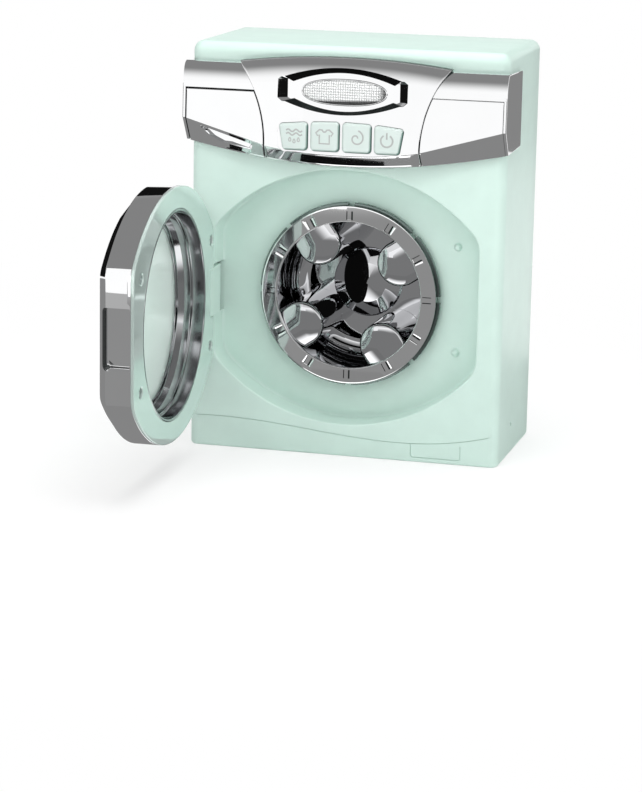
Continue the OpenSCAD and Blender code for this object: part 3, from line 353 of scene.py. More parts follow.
class Shape:
    """Patches that share their edges and are welded into one mesh."""

    def __init__(self):
        self.v, self.f, self.slots, self.slot = [], [], [], 0

    def add(self, points, faces):
        base = len(self.v)
        self.v += [tuple(p) for p in points]
        self.f += [tuple(base + i for i in f) for f in faces]
        self.slots += [self.slot] * len(faces)
        return self

    def use(self, slot):
        """The material slot of the faces that come next."""
        self.slot = slot
        return self

    def loft(self, rings, closed=True):
        n, m = len(rings[0]), len(rings)
        faces = [(i * n + j, i * n + (j + 1) % n, (i + 1) * n + (j + 1) % n, (i + 1) * n + j)
                 for i in range(m - 1) for j in range(n if closed else n - 1)]
        return self.add(np.concatenate(rings), faces)

    def fill(self, outer, holes=(), axes=(0, 2)):
        """Triangles between an outline and its holes, flat along the two axes."""
        loops = [np.asarray(outer)] + [np.asarray(h) for h in holes]
        pts, edges, base = np.concatenate(loops), [], 0
        for l in loops:
            edges += [(base + i, base + (i + 1) % len(l)) for i in range(len(l))]
            base += len(l)
        flat = [Vector((p[axes[0]], p[axes[1]])) for p in pts]
        tris, origin = delaunay_2d_cdt(flat, edges, [], 1, 1e-7)[2:4]
        tris = np.array([[origin[i][0] for i in t] for t in tris])
        mid = np.array([[sum(pts[i][a] for i in t) / 3 for a in axes] for t in tris])
        keep = inside(mid[:, 0], mid[:, 1], loops[0][:, list(axes)])
        for h in loops[1:]:
            keep &= ~inside(mid[:, 0], mid[:, 1], h[:, list(axes)])
        return self.add(pts, [tuple(t) for t in tris[keep]])

    def solid(self, rings, axes=(0, 2)):
        """A loft with both ends filled."""
        return self.loft(rings).fill(rings[0], axes=axes).fill(rings[-1], axes=axes)

    def prism(self, outline, y0, y1):
        return self.solid([flat_ring(outline, y) for y in (y0, y1)])

    def rod(self, rings):
        """A loft with both ends closed by one face each."""
        n = len(rings[0])
        self.loft(rings).add(rings[0], [tuple(range(n))])
        return self.add(rings[-1], [tuple(range(n - 1, -1, -1))])


def lathe(profile, segments=192, cx=0.0, cz=DRUM_Z):
    """Turns (r, y) points round an axis that runs front to back."""
    return Shape().loft([flat_ring(circle(max(r, 0.0005), segments, cx, cz), y) for r, y in profile])


def oval_plate(outside, hole):
    """A plate with the recess's outline and a round hole, from (inset, y) and (radius, y) profiles."""
    rings, hole_rings = flat_rings(oval, outside), flat_rings(circle, hole)
    s = Shape().loft(rings).loft(hole_rings)
    return s.fill(rings[-1], [hole_rings[0]]).fill(rings[0], [hole_rings[-1]])


def to_object(name, shape, material, merge=0.002, sharp=32, pose=None):
    me = bpy.data.meshes.new(name)
    v = np.asarray(shape.v, float)
    if pose is not None:
        v = pose(v)
    me.from_pydata((v * 0.001).tolist(), [], shape.f)
    me.polygons.foreach_set("material_index", shape.slots)
    bm = bmesh.new()
    bm.from_mesh(me)
    bmesh.ops.remove_doubles(bm, verts=bm.verts, dist=merge * 0.001)
    bmesh.ops.dissolve_degenerate(bm, edges=bm.edges, dist=1e-7)
    bmesh.ops.recalc_face_normals(bm, faces=bm.faces)
    bm.to_mesh(me)
    bm.free()
    smooth(me, sharp)
    for m in material if isinstance(material, list) else [material]:
        me.materials.append(m)
    return add_object(name, me)


def smooth(me, sharp):
    me.shade_smooth()
    me.set_sharp_from_angle(angle=rad(sharp))


def cut(ob, tools, material, sharp, extra=()):
    """Cuts shapes, and objects that are ready, out of an object's mesh."""
    cutters = [to_object("cutter", t, material) for t in tools] + list(extra)
    for c in cutters:
        m = ob.modifiers.new("cut", "BOOLEAN")
        m.operation, m.object, m.solver = "DIFFERENCE", c, "EXACT"
    bpy.context.view_layer.update()
    me = bpy.data.meshes.new_from_object(ob.evaluated_get(bpy.context.evaluated_depsgraph_get()))
    ob.modifiers.clear()
    ob.data = me
    smooth(me, sharp)
    for c in cutters:
        bpy.data.objects.remove(c)


def piece(ob, body, slot, *replaced):
    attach(ob, body)
    if replaced:
        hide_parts(*replaced)
    return ob


def door_pose(v):
    """Turns points of the closed door to where it stands open."""
    c, s = cos(rad(-DOOR_OPEN)), sin(rad(-DOOR_OPEN))
    out = v.copy()
    dx, dy = v[:, 0] - HINGE_X, v[:, 1] - HINGE_Y
    out[:, 0], out[:, 1] = HINGE_X + dx * c - dy * s, HINGE_Y + dx * s + dy * c
    return out


def pose_object(ob):
    """Opens a piece of the door that was cut while closed."""
    me = ob.data
    co = np.zeros(len(me.vertices) * 3)
    me.vertices.foreach_get("co", co)
    me.vertices.foreach_set("co", (door_pose(co.reshape(-1, 3) * 1000) * 0.001).ravel())
    me.update()


# Cabinet
def bezier(p, t):
    p = np.array(p, float)
    t = np.asarray(t)[:, None]
    return (1 - t) ** 3 * p[0] + 3 * t * (1 - t) ** 2 * p[1] + 3 * t * t * (1 - t) * p[2] + t ** 3 * p[3]


def cabinet_ring(y, inset, r, low, far):
    """Outline at the depth y of a box rounded by r, by low at its bottom and by far at its back."""
    def drop(rr, d):
        return rr - sqrt(max(rr * rr - (rr - d) ** 2, 0)) if d < rr else 0.0
    depth = y - (FRONT + inset)
    t, b = drop(r, depth), drop(low, depth)
    t2 = drop(far, BACK - y) if far else 0.0
    side = inset + t + t2
    return flat_ring(rrect(side - SIDE, SIDE - side, inset + b, H - side, max(r - t - t2, 0.05), low), y)


def groove(points, sides, half, depth):
    """A cutter for a line in the cabinet's front; sides point across the line."""
    ends = ((half, -60), (0.2, FRONT + depth), (-0.2, FRONT + depth), (-half, -60))
    return Shape().rod([np.array([(x + u * w, y, z + v * w) for w, y in ends])
                        for (x, z), (u, v) in zip(points, sides)])


def make_cabinet():
    front_ys = [FRONT + EDGE_R * (1 - cos(rad(a))) for a in range(0, 91, 9)]
    back_ys = [BACK - BACK_R * (1 - sin(rad(a))) for a in (0, 20, 45, 70, 90)]
    outer = [cabinet_ring(y, 0, EDGE_R, 2.0, BACK_R) for y in front_ys + [-20, 20] + back_ys]
    # a narrow band round the flat front keeps its shading flat
    mid = np.array([0, FRONT, 140.0])
    d = outer[0] - mid
    guard = mid + d * (1 - 0.6 / np.maximum(np.abs(d[:, [0]]), np.abs(d[:, [2]])))
    guard[:, 1] = FRONT
    r_in, back_y = EDGE_R - WALL, FLOOR_Y + WALL
    inner = [cabinet_ring(y, WALL, r_in, 0.6, 0)
             for y in [BACK, 0] + [FRONT + WALL + r_in * (1 - cos(rad(a))) for a in (90, 60, 30, 0)]]
    recess = flat_rings(oval, soft([(-3.2, FRONT, 0), (0, FRONT, 1.3), (0, FLOOR_Y, 2.2), (5.0, FLOOR_Y, 0)], 8))
    opening = flat_rings(circle, soft([(70, FLOOR_Y, 0), (OPENING_R, FLOOR_Y, 0.6), (OPENING_R, back_y, 0.4),
                                       (66, back_y, 0)], 4))
    far, near = (flat_ring(oval(-WALL), y) for y in (back_y, FRONT + WALL))
    s = Shape().loft([guard] + outer + inner).loft(recess).loft(opening).loft([near, far])
    s.fill(guard, [recess[0]])
    s.fill(recess[-1], [opening[0]])
    s.fill(far, [opening[-1]])
    s.fill(inner[-1], [near])
    body = to_object("cabinet_shell", s, mint, sharp=30)
    # the line across the plinth, the line of the flap, the hinge's notch and the openings behind the panel
    wave = bezier([(-SIDE - 2, 21.5), (-30, 27), (35, -2), (SIDE + 2, 23.9)], np.linspace(0, 1, 61))
    flap = [(49.9, 13.2)] + arc(52.1, 5.8, 2.2, 180, 270, 6) + arc(82.9, 5.8, 2.2, 270, 360, 6) + [(85.1, 13.4)]
    tools = [groove(wave, [(0, 1)] * len(wave), 0.55, 0.75), groove(flap, normals(flap), 0.5, 0.7),
             Shape().prism(rrect(-99, -92.4, DRUM_Z - 17.8, DRUM_Z + 17.8, 1.2, 1.2, 4), -58, FLOOR_Y - 0.02),
             Shape().prism(rrect(-105.35, -57.15, 217.05, 249.95, 1, 1, 3), -58, -50),
             Shape().prism(rrect(-40, 40, 219, 232, 1, 1, 3), -58, -50)]
    # a small round dent low on the right side
    dent = to_object("cutter", lathe([(0, -8), (1.4, -8), (1.4, 0.9), (2.0, 2.6), (2.0, 4), (0, 4)], 40, 0, 0), mint,
                     pose=lambda v: np.stack([SIDE - 2 + v[:, 1], -8 + v[:, 0], 21.5 + v[:, 2]], 1))
    cut(body, tools, mint, 30, [dent])
    piece(body, "cabinet", "mint_plastic", "front_shell")
    dome = [(0, -2.7)] + [(2.6 * sin(rad(a)), -0.1 - 2.6 * cos(rad(a))) for a in range(10, 80, 8)]
    dome += [(2.62, -0.5), (2.8, -0.2), (3.2, -0.02), (3.6, 0.1)]
    for sign, name in ((-1, "catch_low"), (1, "catch_high")):
        c = lathe([(r, FLOOR_Y + y) for r, y in dome], 48, 75, DRUM_Z + sign * OVAL_FLAT)
        piece(to_object(name, c, mint, sharp=60), "cabinet", "mint_plastic")


# Drum
def make_ring():
    """The chrome ring in front of the drum: eight tabs round it and twelve sunken bars across its face."""
    face, y0, step = RING_R - 2.1, RING_Y, 0.02
    half_gap = half_bar = 2.3
    seat_r, bar_in, bar_out = BOWL_R + 0.2, MOUTH_R + 1.4, face - 3.4
    lip_y, tab_y, back_y = y0 + 2.5, y0 + 4.5, y0 + 7.6
    groove_depth, bar_depth = 1.2, 0.45

    def column(theta, side, depth, tab):
        """Points of the ring's section; side shifts them by a distance round the ring."""
        out = RING_R if tab else face
        prof = soft([(seat_r, back_y, 0), (seat_r, lip_y, 0), (MOUTH_R, lip_y, 0.4), (MOUTH_R, y0, 0.5),
                     (bar_in, y0, 0)], 4)
        prof += [(bar_in, y0 + depth), (bar_out, y0 + depth), (bar_out, y0)]
        prof += soft([(face - 1.0, y0, 0), (face, y0, 0.15), (face, tab_y, 0)], 4)
        prof += soft([(face + 0.02, tab_y, 0), (out, tab_y, 0.5), (out, back_y, 0.4), (seat_r, back_y, 0)], 4)
        turns = [theta + (asin(side / r) if side else 0) for r, _ in prof]
        return np.array([(r * cos(t), y, DRUM_Z + r * sin(t)) for (r, y), t in zip(prof, turns)])

    def near(t, places, half=0.1, r=60):
        return any(abs((t - p + pi) % (2 * pi) - pi) < half / r for p in places)
    gaps = [k * pi / 4 for k in range(8)]
    bars = [k * pi / 6 for k in range(12)]
    cols = [(t, t, 0, 0.0, True) for t in [2 * pi * i / 288 for i in range(288)]
            if not near(t, gaps, half_gap + 0.7, 60) and not near(t, bars, half_bar + 0.7, 56)]
    for p in sorted(set(round(g, 6) for g in gaps + bars)):
        steps, at_bar, at_gap = [], near(p, bars), near(p, gaps)
        if at_bar:
            up = sin(p)
            left, right = (-1.7, 1.7) if abs(up) < 0.3 else (-1.05, 1.8) if up > 0 else (-1.8, 1.05)
            for a0, a1 in ((-2.25, left), (right, 2.25)):
                steps += [(a0 - step, None), (a0, groove_depth), (a1, groove_depth), (a1 + step, None)]
        if at_gap:
            steps += [(h, None) for h in (-half_gap - step, -half_gap, half_gap, half_gap + step)]
        for h, d in sorted(steps, key=lambda v: v[0]):
            depth = d if d is not None else bar_depth if at_bar and -half_bar < h < half_bar else 0.0
            cols.append((p + h / 58, p, h, depth, not (at_gap and abs(h) <= half_gap)))
    cols.sort(key=lambda c: c[0])
    rings = [column(*c[1:]) for c in cols]
    first = next(i for i, q in enumerate(rings[0]) if hypot(q[0], q[2] - DRUM_Z) > face - 0.1)
    s = Shape()
    for c, c2, a, b in zip(cols, cols[1:] + cols[:1], rings, rings[1:] + rings[:1]):
        deep = max(c[3], c2[3]) > 0.9
        for j in range(len(a) - 1):
            # painted shade: dark chrome in the bars' grooves, then a dark green-grey chrome on everything outside
            # the face
            s.use(1 if deep and 11 < j < 15 else 2 if j >= first else 0)
            s.add([a[j], a[j + 1], b[j + 1], b[j]], QUAD)
    ob = to_object("drum_front_ring", s, [chrome, chrome_dark, chrome_edge_shade], merge=0.001, sharp=28)
    piece(ob, "drum", PLATED, "drum_ring")


def drum_section(r, q):
    """Outline of the drum's inside where its wall has the radius r and its lifters the half width q."""
    if r * r > LIFTER_X ** 2 + q * q:
        x, z, a0 = sqrt(r * r - q * q), q, 90.0
        side = [(x + (LIFTER_X - x) * i / 8, q) for i in range(1, 9)]
    else:
        turn = acos(min(1, (r * r + LIFTER_X ** 2 - q * q) / (2 * r * LIFTER_X)))
        x, z = r * cos(turn), r * sin(turn)
        a0, side = degrees(atan2(z, x - LIFTER_X)), []
    path = [(x, z)] + side + arc(LIFTER_X, 0, q, a0, 180, 48 - len(side))[1:]
    path += [(u, -w) for u, w in path[-2::-1]]
    start = atan2(z, x)
    wall = [(r * cos(t), r * sin(t)) for t in np.linspace(start - pi / 2, -start, 72)[1:-1]]
    loop = []
    for k in range(4):
        t = rad(LIFTER_TURN - 90 * k)
        loop += [(u * cos(t) - w * sin(t), DRUM_Z + u * sin(t) + w * cos(t))
                 for u, w in path + wall[::-1]]
    return loop


def make_bowl():
    r0, yb, bend = BOWL_R - 2.0, BOWL_Y1 - 2.0, 14
    nose = [(q, BOWL_Y0 + LIFTER_DOME * (q / LIFTER_R) ** 2, 0) for q in np.linspace(0.1, 0.7 * LIFTER_R, 12)]
    nose += [(LIFTER_R, BOWL_Y0 + LIFTER_DOME, LIFTER_EDGE), (LIFTER_R, BOWL_Y0 + 14, 0)]
    walls = [(r0, y, q) for q, y in soft(nose, 8)] + [(r0, y, LIFTER_R) for y in (-20, -10, yb - bend)]
    walls += [(r0 - bend + bend * cos(rad(a)), yb - bend + bend * sin(rad(a)), LIFTER_R)
              for a in range(5, 91, 5)]
    rings = [flat_ring(drum_section(r, q), y) for r, y, q in walls]
    turn = np.arctan2(rings[0][:, 2] - DRUM_Z, rings[0][:, 0])

    def turned(r, y):
        return np.stack([r * np.cos(turn), np.full(len(turn), y), DRUM_Z + r * np.sin(turn)], 1)
    outer = soft([(r0, BOWL_Y0, 0), (BOWL_R, BOWL_Y0, 0), (BOWL_R, BOWL_Y1, 14), (6, BOWL_Y1, 0)], 8)
    outer += [(6, BOWL_Y1 + 2.6), (3, BOWL_Y1 + 2.6)]
    hub = flat_rings(circle, soft([(25, yb, 0), (24, yb - 2, 0.6), (14, yb - 4.5, 3), (0.0005, yb - 6.5, 0)], 5))
    s = Shape().loft([turned(r, y) for r, y in reversed(outer)] + rings)
    s.fill(rings[-1], [hub[0]]).loft(hub)
    piece(to_object("drum_inner", s, chrome_drum, merge=0.0005, sharp=30), "drum", PLATED, "drum_bowl")


# Door, made closed and turned open
def finger_pocket():
    """Cutter of the pocket in the door's flat edge, rounded at its front corners and on its floor."""
    floor_x, end_x, r = OVAL_A - 3 - 13, 96.0, 1.6

    def outline(g):
        y0, y1, z0, z1 = -56.6 + g, -37.3 - g, DRUM_Z - 20.5 + g, DRUM_Z + 20.5 - g
        a, b = max(3.4 - g, 0.2), max(0.9 - g * 0.4, 0.1)
        return round_corners([(y1 - b, z1 - b, b), (y0 + a, z1 - a, a), (y0 + a, z0 + a, a), (y1 - b, z0 + b, b)], 6)
    sizes = [(floor_x + r * (1 - cos(rad(t))), r * (1 - sin(rad(t)))) for t in range(0, 91, 18)]
    rings = [np.array([(x, y, z) for y, z in outline(g)]) for x, g in sizes + [(end_x, 0)]]
    wall = rings[4:]
    c = Shape().loft(rings[:5])
    # its upper wall and its wall towards the door's front are in shade
    for start, stop, slot in ((0, 7, 0), (20, 28, 0), (6, 21, 1)):
        c.use(slot).loft([q[start:stop] for q in wall], closed=False)
    c.use(0)
    for a, b in zip(wall, wall[1:]):
        c.add([a[27], a[0], b[0], b[27]], QUAD)
    return c.fill(rings[0], axes=(1, 2)).fill(rings[-1], axes=(1, 2))


def make_door():
    outside = soft([(6, FRAME_BACK, 0), (3, FRAME_BACK, 0.5), (3, DOOR_FRONT + 6, 0.7), (10, DOOR_FRONT, 0.7),
                    (12.5, DOOR_FRONT, 0)], 6)
    hole = soft([(64.5, DOOR_FRONT, 0), (WINDOW_R, DOOR_FRONT, 0.8), (WINDOW_R, WINDOW_SEAT, 0),
                 (67.2, WINDOW_SEAT, 0), (TUNNEL_R + 1, FRAME_BACK, 0)], 6)
    ob = to_object("door_outer_frame", oval_plate(outside, hole), shaded_chrome, sharp=24)
    cut(ob, [finger_pocket()], shaded_chrome, 24)
    pose_object(ob)
    piece(ob, "door", PLATED, "door_frame")
    # flat back with its round opening, screw holes and the slot of the hinge arm
    outside = soft([(5, FRAME_BACK, 0), (3.1, FRAME_BACK, 0.3), (3.1, DOOR_BACK, 0.5), (5, DOOR_BACK, 0)], 5)
    r, y0, y1 = TUNNEL_R + 0.2, FRAME_BACK - 1, DOOR_BACK + 1
    hole = soft([(73, DOOR_BACK, 0), (r, DOOR_BACK, 0.4), (r, FRAME_BACK, 0.2), (73, FRAME_BACK, 0)], 5)
    ob = to_object("door_back_plate", oval_plate(outside, hole), chrome_plate, sharp=30)
    sink = [(0, y1), (4.4, y1), (4.4, DOOR_BACK), (3.7, DOOR_BACK - 0.7), (3.7, y0), (0, y0)]
    tools = [lathe(sink, 40, x, z) for x, z in SCREWS]
    tools.append(Shape().prism(rrect(-95, -82.6, DRUM_Z - 17.2, DRUM_Z + 17.2, 0.8, 0.8, 3), y0, y1))
    cut(ob, tools, chrome, 30)
    pose_object(ob)
    piece(ob, "door", PLATED, "door_back")
    # stepped tunnel
    t, yb, w, seat = TUNNEL_R, DOOR_BACK, WINDOW_R, WINDOW_SEAT
    prof = soft([(t - 0.1, yb - 9, 0), (t, yb + 0.1, 0.5), (t - 1.6, yb + 0.1, 0.7), (t - 2.0, yb - 8.8, 0.9),
                 (t - 3.8, yb - 9.6, 0.7), (t - 4.2, yb - 14, 0.9), (w + 3.4, seat + 3.6, 0.8),
                 (w + 0.8, seat + 3.0, 0.6), (w + 0.6, seat + 2.05, 0.2), (w + 5, seat + 2.05, 0),
                 (t - 2.4, yb - 14.6, 0), (t - 0.1, yb - 9, 0)], 6)
    ob = to_object("door_step_tunnel", lathe(prof, 256), chrome_tunnel, sharp=35, pose=door_pose)
    piece(ob, "door", PLATED, "door_tunnel")
    # clear window with its curved bar
    prof = soft([(0, DOOR_FRONT + 0.9, 0), (40, DOOR_FRONT + 0.95, 0), (61.6, DOOR_FRONT + 1.4, 1.0),
                 (61.6, seat + 0.02, 0.1), (66.4, seat + 0.02, 0.2), (66.4, seat + 1.9, 0.2), (0, seat + 1.9, 0)], 5)
    ob = to_object("door_clear_window", lathe(prof), window_mat, sharp=40, pose=door_pose)
    piece(ob, "door", "tinted_clear", "door_window")
    half, bar_r, half_width, height, rings = 46, 46.2, 1.7, 1.5, []
    for i in range(61):
        a = -half + 2 * half * i / 60
        taper = min(1.0, sin(pi * min(max((half - abs(a)) / 5, 0), 1) / 2) + 0.02)
        ring = []
        for b in range(0, 181, 18):
            r = bar_r + half_width * taper * cos(rad(b))
            y = seat + 1.85 + height * taper * sin(rad(b))
            ring.append((r * cos(rad(a)), y, DRUM_Z + r * sin(rad(a))))
        rings.append(np.array(ring))
    ob = to_object("window_bar", Shape().rod(rings), window_mat, sharp=50, pose=door_pose)
    piece(ob, "door", "tinted_clear")


# Control panel: one curved front that its pieces share
def smile(x):
    return PANEL_LOW + SMILE_R - np.sqrt(SMILE_R ** 2 - np.square(x))


def crown(x):
    return PANEL_TOP + CROWN_RISE - CROWN_R + np.sqrt(CROWN_R ** 2 - np.square(x))


def seam(z):
    return SEAM_X - np.sqrt(SEAM_R ** 2 - np.square(np.asarray(z) - SEAM_Z))


def crease_line(x):
    a = np.abs(x)
    u = a / CREASE_X
    return np.where(a > CREASE_X, CREASE_Z + (a - CREASE_X) * tan(TILT),
                    CREASE_MID + CREASE_RISE * np.square(u) * 0.62 + CREASE_RISE * u ** 3 * 0.38)


def crease_at(x):
    """Where the leaning face, y = 0.04308 z - 79.745, meets the one below the crease."""
    return (8.745 + UNDER_SLOPE * crease_line(x)) / (0.04308 + UNDER_SLOPE)


def face_y(x, z, out, top):
    """The panel's depth at x and z: rolled back at the top, leaning, and turned in below the crease."""
    lean = BREAK_Y + (LOW_Y - BREAK_Y) * (BREAK_Z - z) / 52
    t = np.clip((z - BREAK_Z) / (top - BREAK_Z), 0, 1)
    y = np.where(z > BREAK_Z, BREAK_Y + (TOP_Y - BREAK_Y) * (1 - np.sqrt(1 - t * t)), lean)
    under = LOW_Y + UNDER_SLOPE * (crease_line(x) - z)
    blend = 0.3
    h = np.maximum(blend - np.abs(y - under), 0) / blend
    return np.maximum(y, under) + h * h * blend / 4 - out


def panel_patch(left, right, top, out, back, roll=False, nu=64):
    """A closed shell front between two side lines and the curved bottom, with a rounded edge."""
    r = 0.45

    def rows(x):
        low, c, high = smile(x) + r, crease_at(x), top(x) - r
        zs = [low + (c - 0.5 - low) * i / 8 for i in range(9)] + [c + d for d in (-0.3, -0.1, 0.1, 0.3, 0.5)]
        base, rise = c + 0.5, np.minimum(high, BREAK_Z) - (c + 0.5)
        zs += [base + rise * i / 14 for i in range(1, 15)]
        if roll:
            zs += [BREAK_Z + (high - BREAK_Z) * sin(rad(90 * i / 18)) for i in range(1, 19)]
        return zs
    u, grid = np.linspace(0, 1, nu), []
    for k in range(len(rows(np.zeros(nu)))):
        z = np.full(nu, 230.0)
        for _ in range(8):
            a, b = left(z) + r, right(z) - r
            x = a + (b - a) * u
            z = rows(x)[k]
        grid.append(np.stack([x, face_y(x, z, out, top(x)), z], 1))
    g = np.array(grid)
    loop = np.concatenate([g[0], g[1:, -1], g[-1, -2::-1], g[-2:0:-1, 0]])
    sides = []
    for t in (loop - np.roll(loop, 1, 0), np.roll(loop, -1, 0) - loop):
        t = t[:, [0, 2]]
        t /= np.linalg.norm(t, axis=1)[:, None]
        sides.append(np.stack([t[:, 1], -t[:, 0]], 1))
    m = sides[0] + sides[1]
    m /= np.sum(m * sides[0], 1)[:, None]
    rings = [loop]
    for a in (20, 40, 60, 80, 90):
        p = loop.copy()
        p[:, [0, 2]] += m * r * sin(rad(a))
        p[:, 1] += r * (1 - cos(rad(a)))
        rings.append(p)
    end = rings[-1].copy()
    end[:, 1] = back
    # the gaps between the shells are in shade
    s = Shape().loft(grid, closed=False).loft(rings[:-1])
    return s.use(1).loft(rings[-2:] + [end]).use(0).fill(end)


def button_x(i):
    return -ROW / 2 + i * (BUTTON_W + BUTTON_GAP)


def button_top(x):
    return BUTTON_Z1 + 1.2 - x * x / 700


def button_outline(i, grow):
    """Outline of a button; the outer two lean in at their outer sides."""
    x0, x1 = button_x(i) - grow, button_x(i) + BUTTON_W + grow
    r, z0, lean = max(2.6 + grow, 0.6), BUTTON_Z0 - grow, 1 - 2.2 / ROW * 2
    a, b = x0 * lean if i == 0 else x0, x1 * lean if i == 3 else x1
    return round_corners([(x1 - r, button_top(x1 - r) + grow - r, r), (x0 + r, button_top(x0 + r) + grow - r, r),
                          (a + r, z0 + r, r), (b - r, z0 + r, r)], 8)


def bezel_points(side, up, down):
    """The bezel's outline, grown by three distances."""
    k = 1 + side / 46.5
    pts = [(46.5 * k, -5.5), (46.5 * k, 7), (44 * k, 9.6 + up * 0.6)]
    pts += [(-4.2 * i * k, 17.2 + up - (4.2 * i) ** 2 / 250) for i in np.linspace(-10, 10, 41)]
    pts += [(-44 * k, 9.6 + up * 0.6), (-46.5 * k, 7), (-46.5 * k, -5.5), (-43.5 * k, -8.6 - down * 0.6)]
    pts += [(4.1 * i * k, -16.8 - down + (4.1 * i) ** 2 / 220) for i in np.linspace(-10, 10, 41)]
    pts += [(43.5 * k, -8.6 - down * 0.6)]
    return [(x, LENS_Z + z) for x, z in pts]


def lens_outline(grow):
    """A slightly squared oval."""
    def squared(v):
        return copysign(abs(v) ** 0.87, v)
    turns = [2 * pi * i / 144 for i in range(144)]
    return [(LENS_IN[0] + (LENS_A + grow) * squared(cos(t)),
             LENS_IN[1] + (LENS_B + grow) * squared(sin(t))) for t in turns]


def button_pocket():
    """Cutter of the pocket that the buttons stand in; its upper and upper left walls are in shade."""
    e, z0 = ROW / 2, BUTTON_Z0
    top = [(x, button_top(x) + 2.0) for x in np.linspace(e - 0.6, 0.6 - e, 25)]
    z1 = top[0][1]
    outline = [(e + 1.8, z1 - 2.4), (e + 1.2, z1 - 0.7)] + top + [(-e - 1.2, z1 - 0.7), (-e - 1.8, z1 - 2.4)]
    outline += [(-e - 1.5, (z0 + BUTTON_Z1) / 2 + 2), (-e - 1.0, z0 + 1.5), (-e + 2.6, z0 - 1.2),
                (e - 2.6, z0 - 1.2), (e + 1.0, z0 + 1.5)]
    ends = [flat_ring(outline, y) for y in (-80, POCKET_FLOOR)]
    c = Shape().use(1).loft([q[1:30] for q in ends], closed=False)
    c.use(0).loft([np.concatenate([q[29:], q[:2]]) for q in ends], closed=False)
    return c.fill(ends[0]).fill(ends[1])


def finger_slot():
    """Cutter of the slot in the drawer's front."""
    corners = [(-47, -3.4, 0.8), (-8.4, -3.4, 1.0), (-8.4, -7.9, 1.2), (-22, -9.7, 4), (-31, -11.0, 4),
               (-40, -8.2, 5), (-47.6, -4.2, 0.8)]
    pts = np.array(soft(corners[-1:] + corners + corners[:1], 4)[1:-1])
    d = pts - (-26.0, -6.6)
    length = np.maximum(np.linalg.norm(d, axis=1), 1)[:, None]
    c, q, rings = cos(TILT), sin(TILT), []
    for inset, y in ((0, -80), (0, -67.5), (0.6, -64.5), (1.6, -62.6), (3.0, -61.4)):
        rings.append(np.array([(-CREASE_X + u * c + w * q, y, CREASE_Z - u * q + w * c)
                               for u, w in d * (1 - inset / length) + (-26.0, -6.6)]))
    return Shape().solid(rings)


def make_panel():
    def const(v):
        return lambda z: np.full_like(np.asarray(z, float), v)
    plated = ("cabinet", PLATED)
    # middle, cut out for the light and the buttons
    s = panel_patch(lambda z: -seam(z), seam, crown, CENTRE_OUT, -57.0, roll=True, nu=90)
    ob = to_object("panel_middle", s, shaded_chrome, sharp=26)
    pocket = to_object("cutter", button_pocket(), shaded_chrome)
    openings = [Shape().prism(bezel_points(-1.2, -1.2, -1.2), -80, -50)]
    openings += [Shape().prism(button_outline(i, 0.35), -80, -60) for i in range(4)]
    cut(ob, openings, chrome, 26, [pocket])
    piece(ob, *plated, "panel_centre")
    # right front and drawer front
    s = panel_patch(lambda z: seam(z) + 0.18, const(110.85), const(STRIP_Z - 0.15), 0, -55.2)
    piece(to_object("panel_right_front", s, shaded_chrome, sharp=26), *plated, "panel_right")
    s = panel_patch(const(-110.3), lambda z: -seam(z) - 1.0, const(STRIP_Z - 1.0), 0, -55.4)
    ob = to_object("drawer_front_skin", s, shaded_chrome, sharp=26)
    cut(ob, [finger_slot()], chrome, 26)
    piece(ob, "drawer", PLATED, "drawer_front")
    # top strips, from the seams to the wings
    s, back_y, end_x = Shape(), -55.2, PANEL_HALF - 0.4
    prof = [(back_y, PANEL_TOP)]
    prof += [(TOP_Y + (BREAK_Y - TOP_Y) * sin(rad(a)), BREAK_Z + (PANEL_TOP - BREAK_Z) * cos(rad(a)))
             for a in range(0, 91, 5)]
    prof += soft([(BREAK_Y, BREAK_Z, 0), (BREAK_Y - 0.02, STRIP_Z, 0.3), (back_y, STRIP_Z, 0)], 4)[1:]
    along = [0, 0.004, *np.linspace(0.02, 0.98, 24), 0.996, 1]
    for sign in (-1, 1):
        starts = [float(seam(z)) + 0.12 for _, z in prof]
        rows = [np.array([(sign * (x + (end_x - x) * t), y, z) for t in along]) for x, (y, z) in zip(starts, prof)]
        s.loft(rows, closed=False)
        for end in (0, -1):
            s.fill(np.array([r[end] for r in rows]), axes=(1, 2))
        s.add([rows[0][0], rows[0][-1], rows[-1][-1], rows[-1][0]], QUAD)
    piece(to_object("panel_top_strips", s, chrome, merge=0.001, sharp=26), *plated, "panel_frame")
    # wings, which wrap round the cabinet's sides
    low, high, face_x, end_y = float(smile(PANEL_HALF)), PANEL_TOP - 0.3, 112.0, FRONT + 38
    zs = [*np.linspace(low, float(crease_at(face_x)), 8), *np.linspace(238, 255, 8)]
    loop = [(float(face_y(np.array(face_x), np.array(z), 0, np.array(PANEL_TOP))), z) for z in zs]
    loop += [(BREAK_Y + (TOP_Y - BREAK_Y) * (1 - cos(rad(a))), BREAK_Z + (high - BREAK_Z) * sin(rad(a)))
             for a in range(6, 91, 6)]
    loop += [(FRONT, high)] + arc(end_y - 2, PANEL_TOP - 3.2, 2, 80, 0, 6)
    loop = np.array(loop + arc(end_y - 2, low + 3.4, 2, 0, -90, 6) + [(FRONT, low + 0.2)])
    inward = normals(loop, True)
    if np.sum(inward * (loop - loop.mean(0))) > 0:
        inward = -inward
    edge = ((SIDE + 0.02, 0), (PANEL_HALF - 0.5, 0), (PANEL_HALF - 0.15, 0.12), (PANEL_HALF, 0.5))
    for sign, name in ((-1, "panel_wing_left"), (1, "panel_wing_right")):
        rings = [np.array([(sign * x, y, z) for y, z in loop + inward * i]) for x, i in edge]
        piece(to_object(name, Shape().solid(rings, (1, 2)), chrome, sharp=17), *plated)
    make_light()


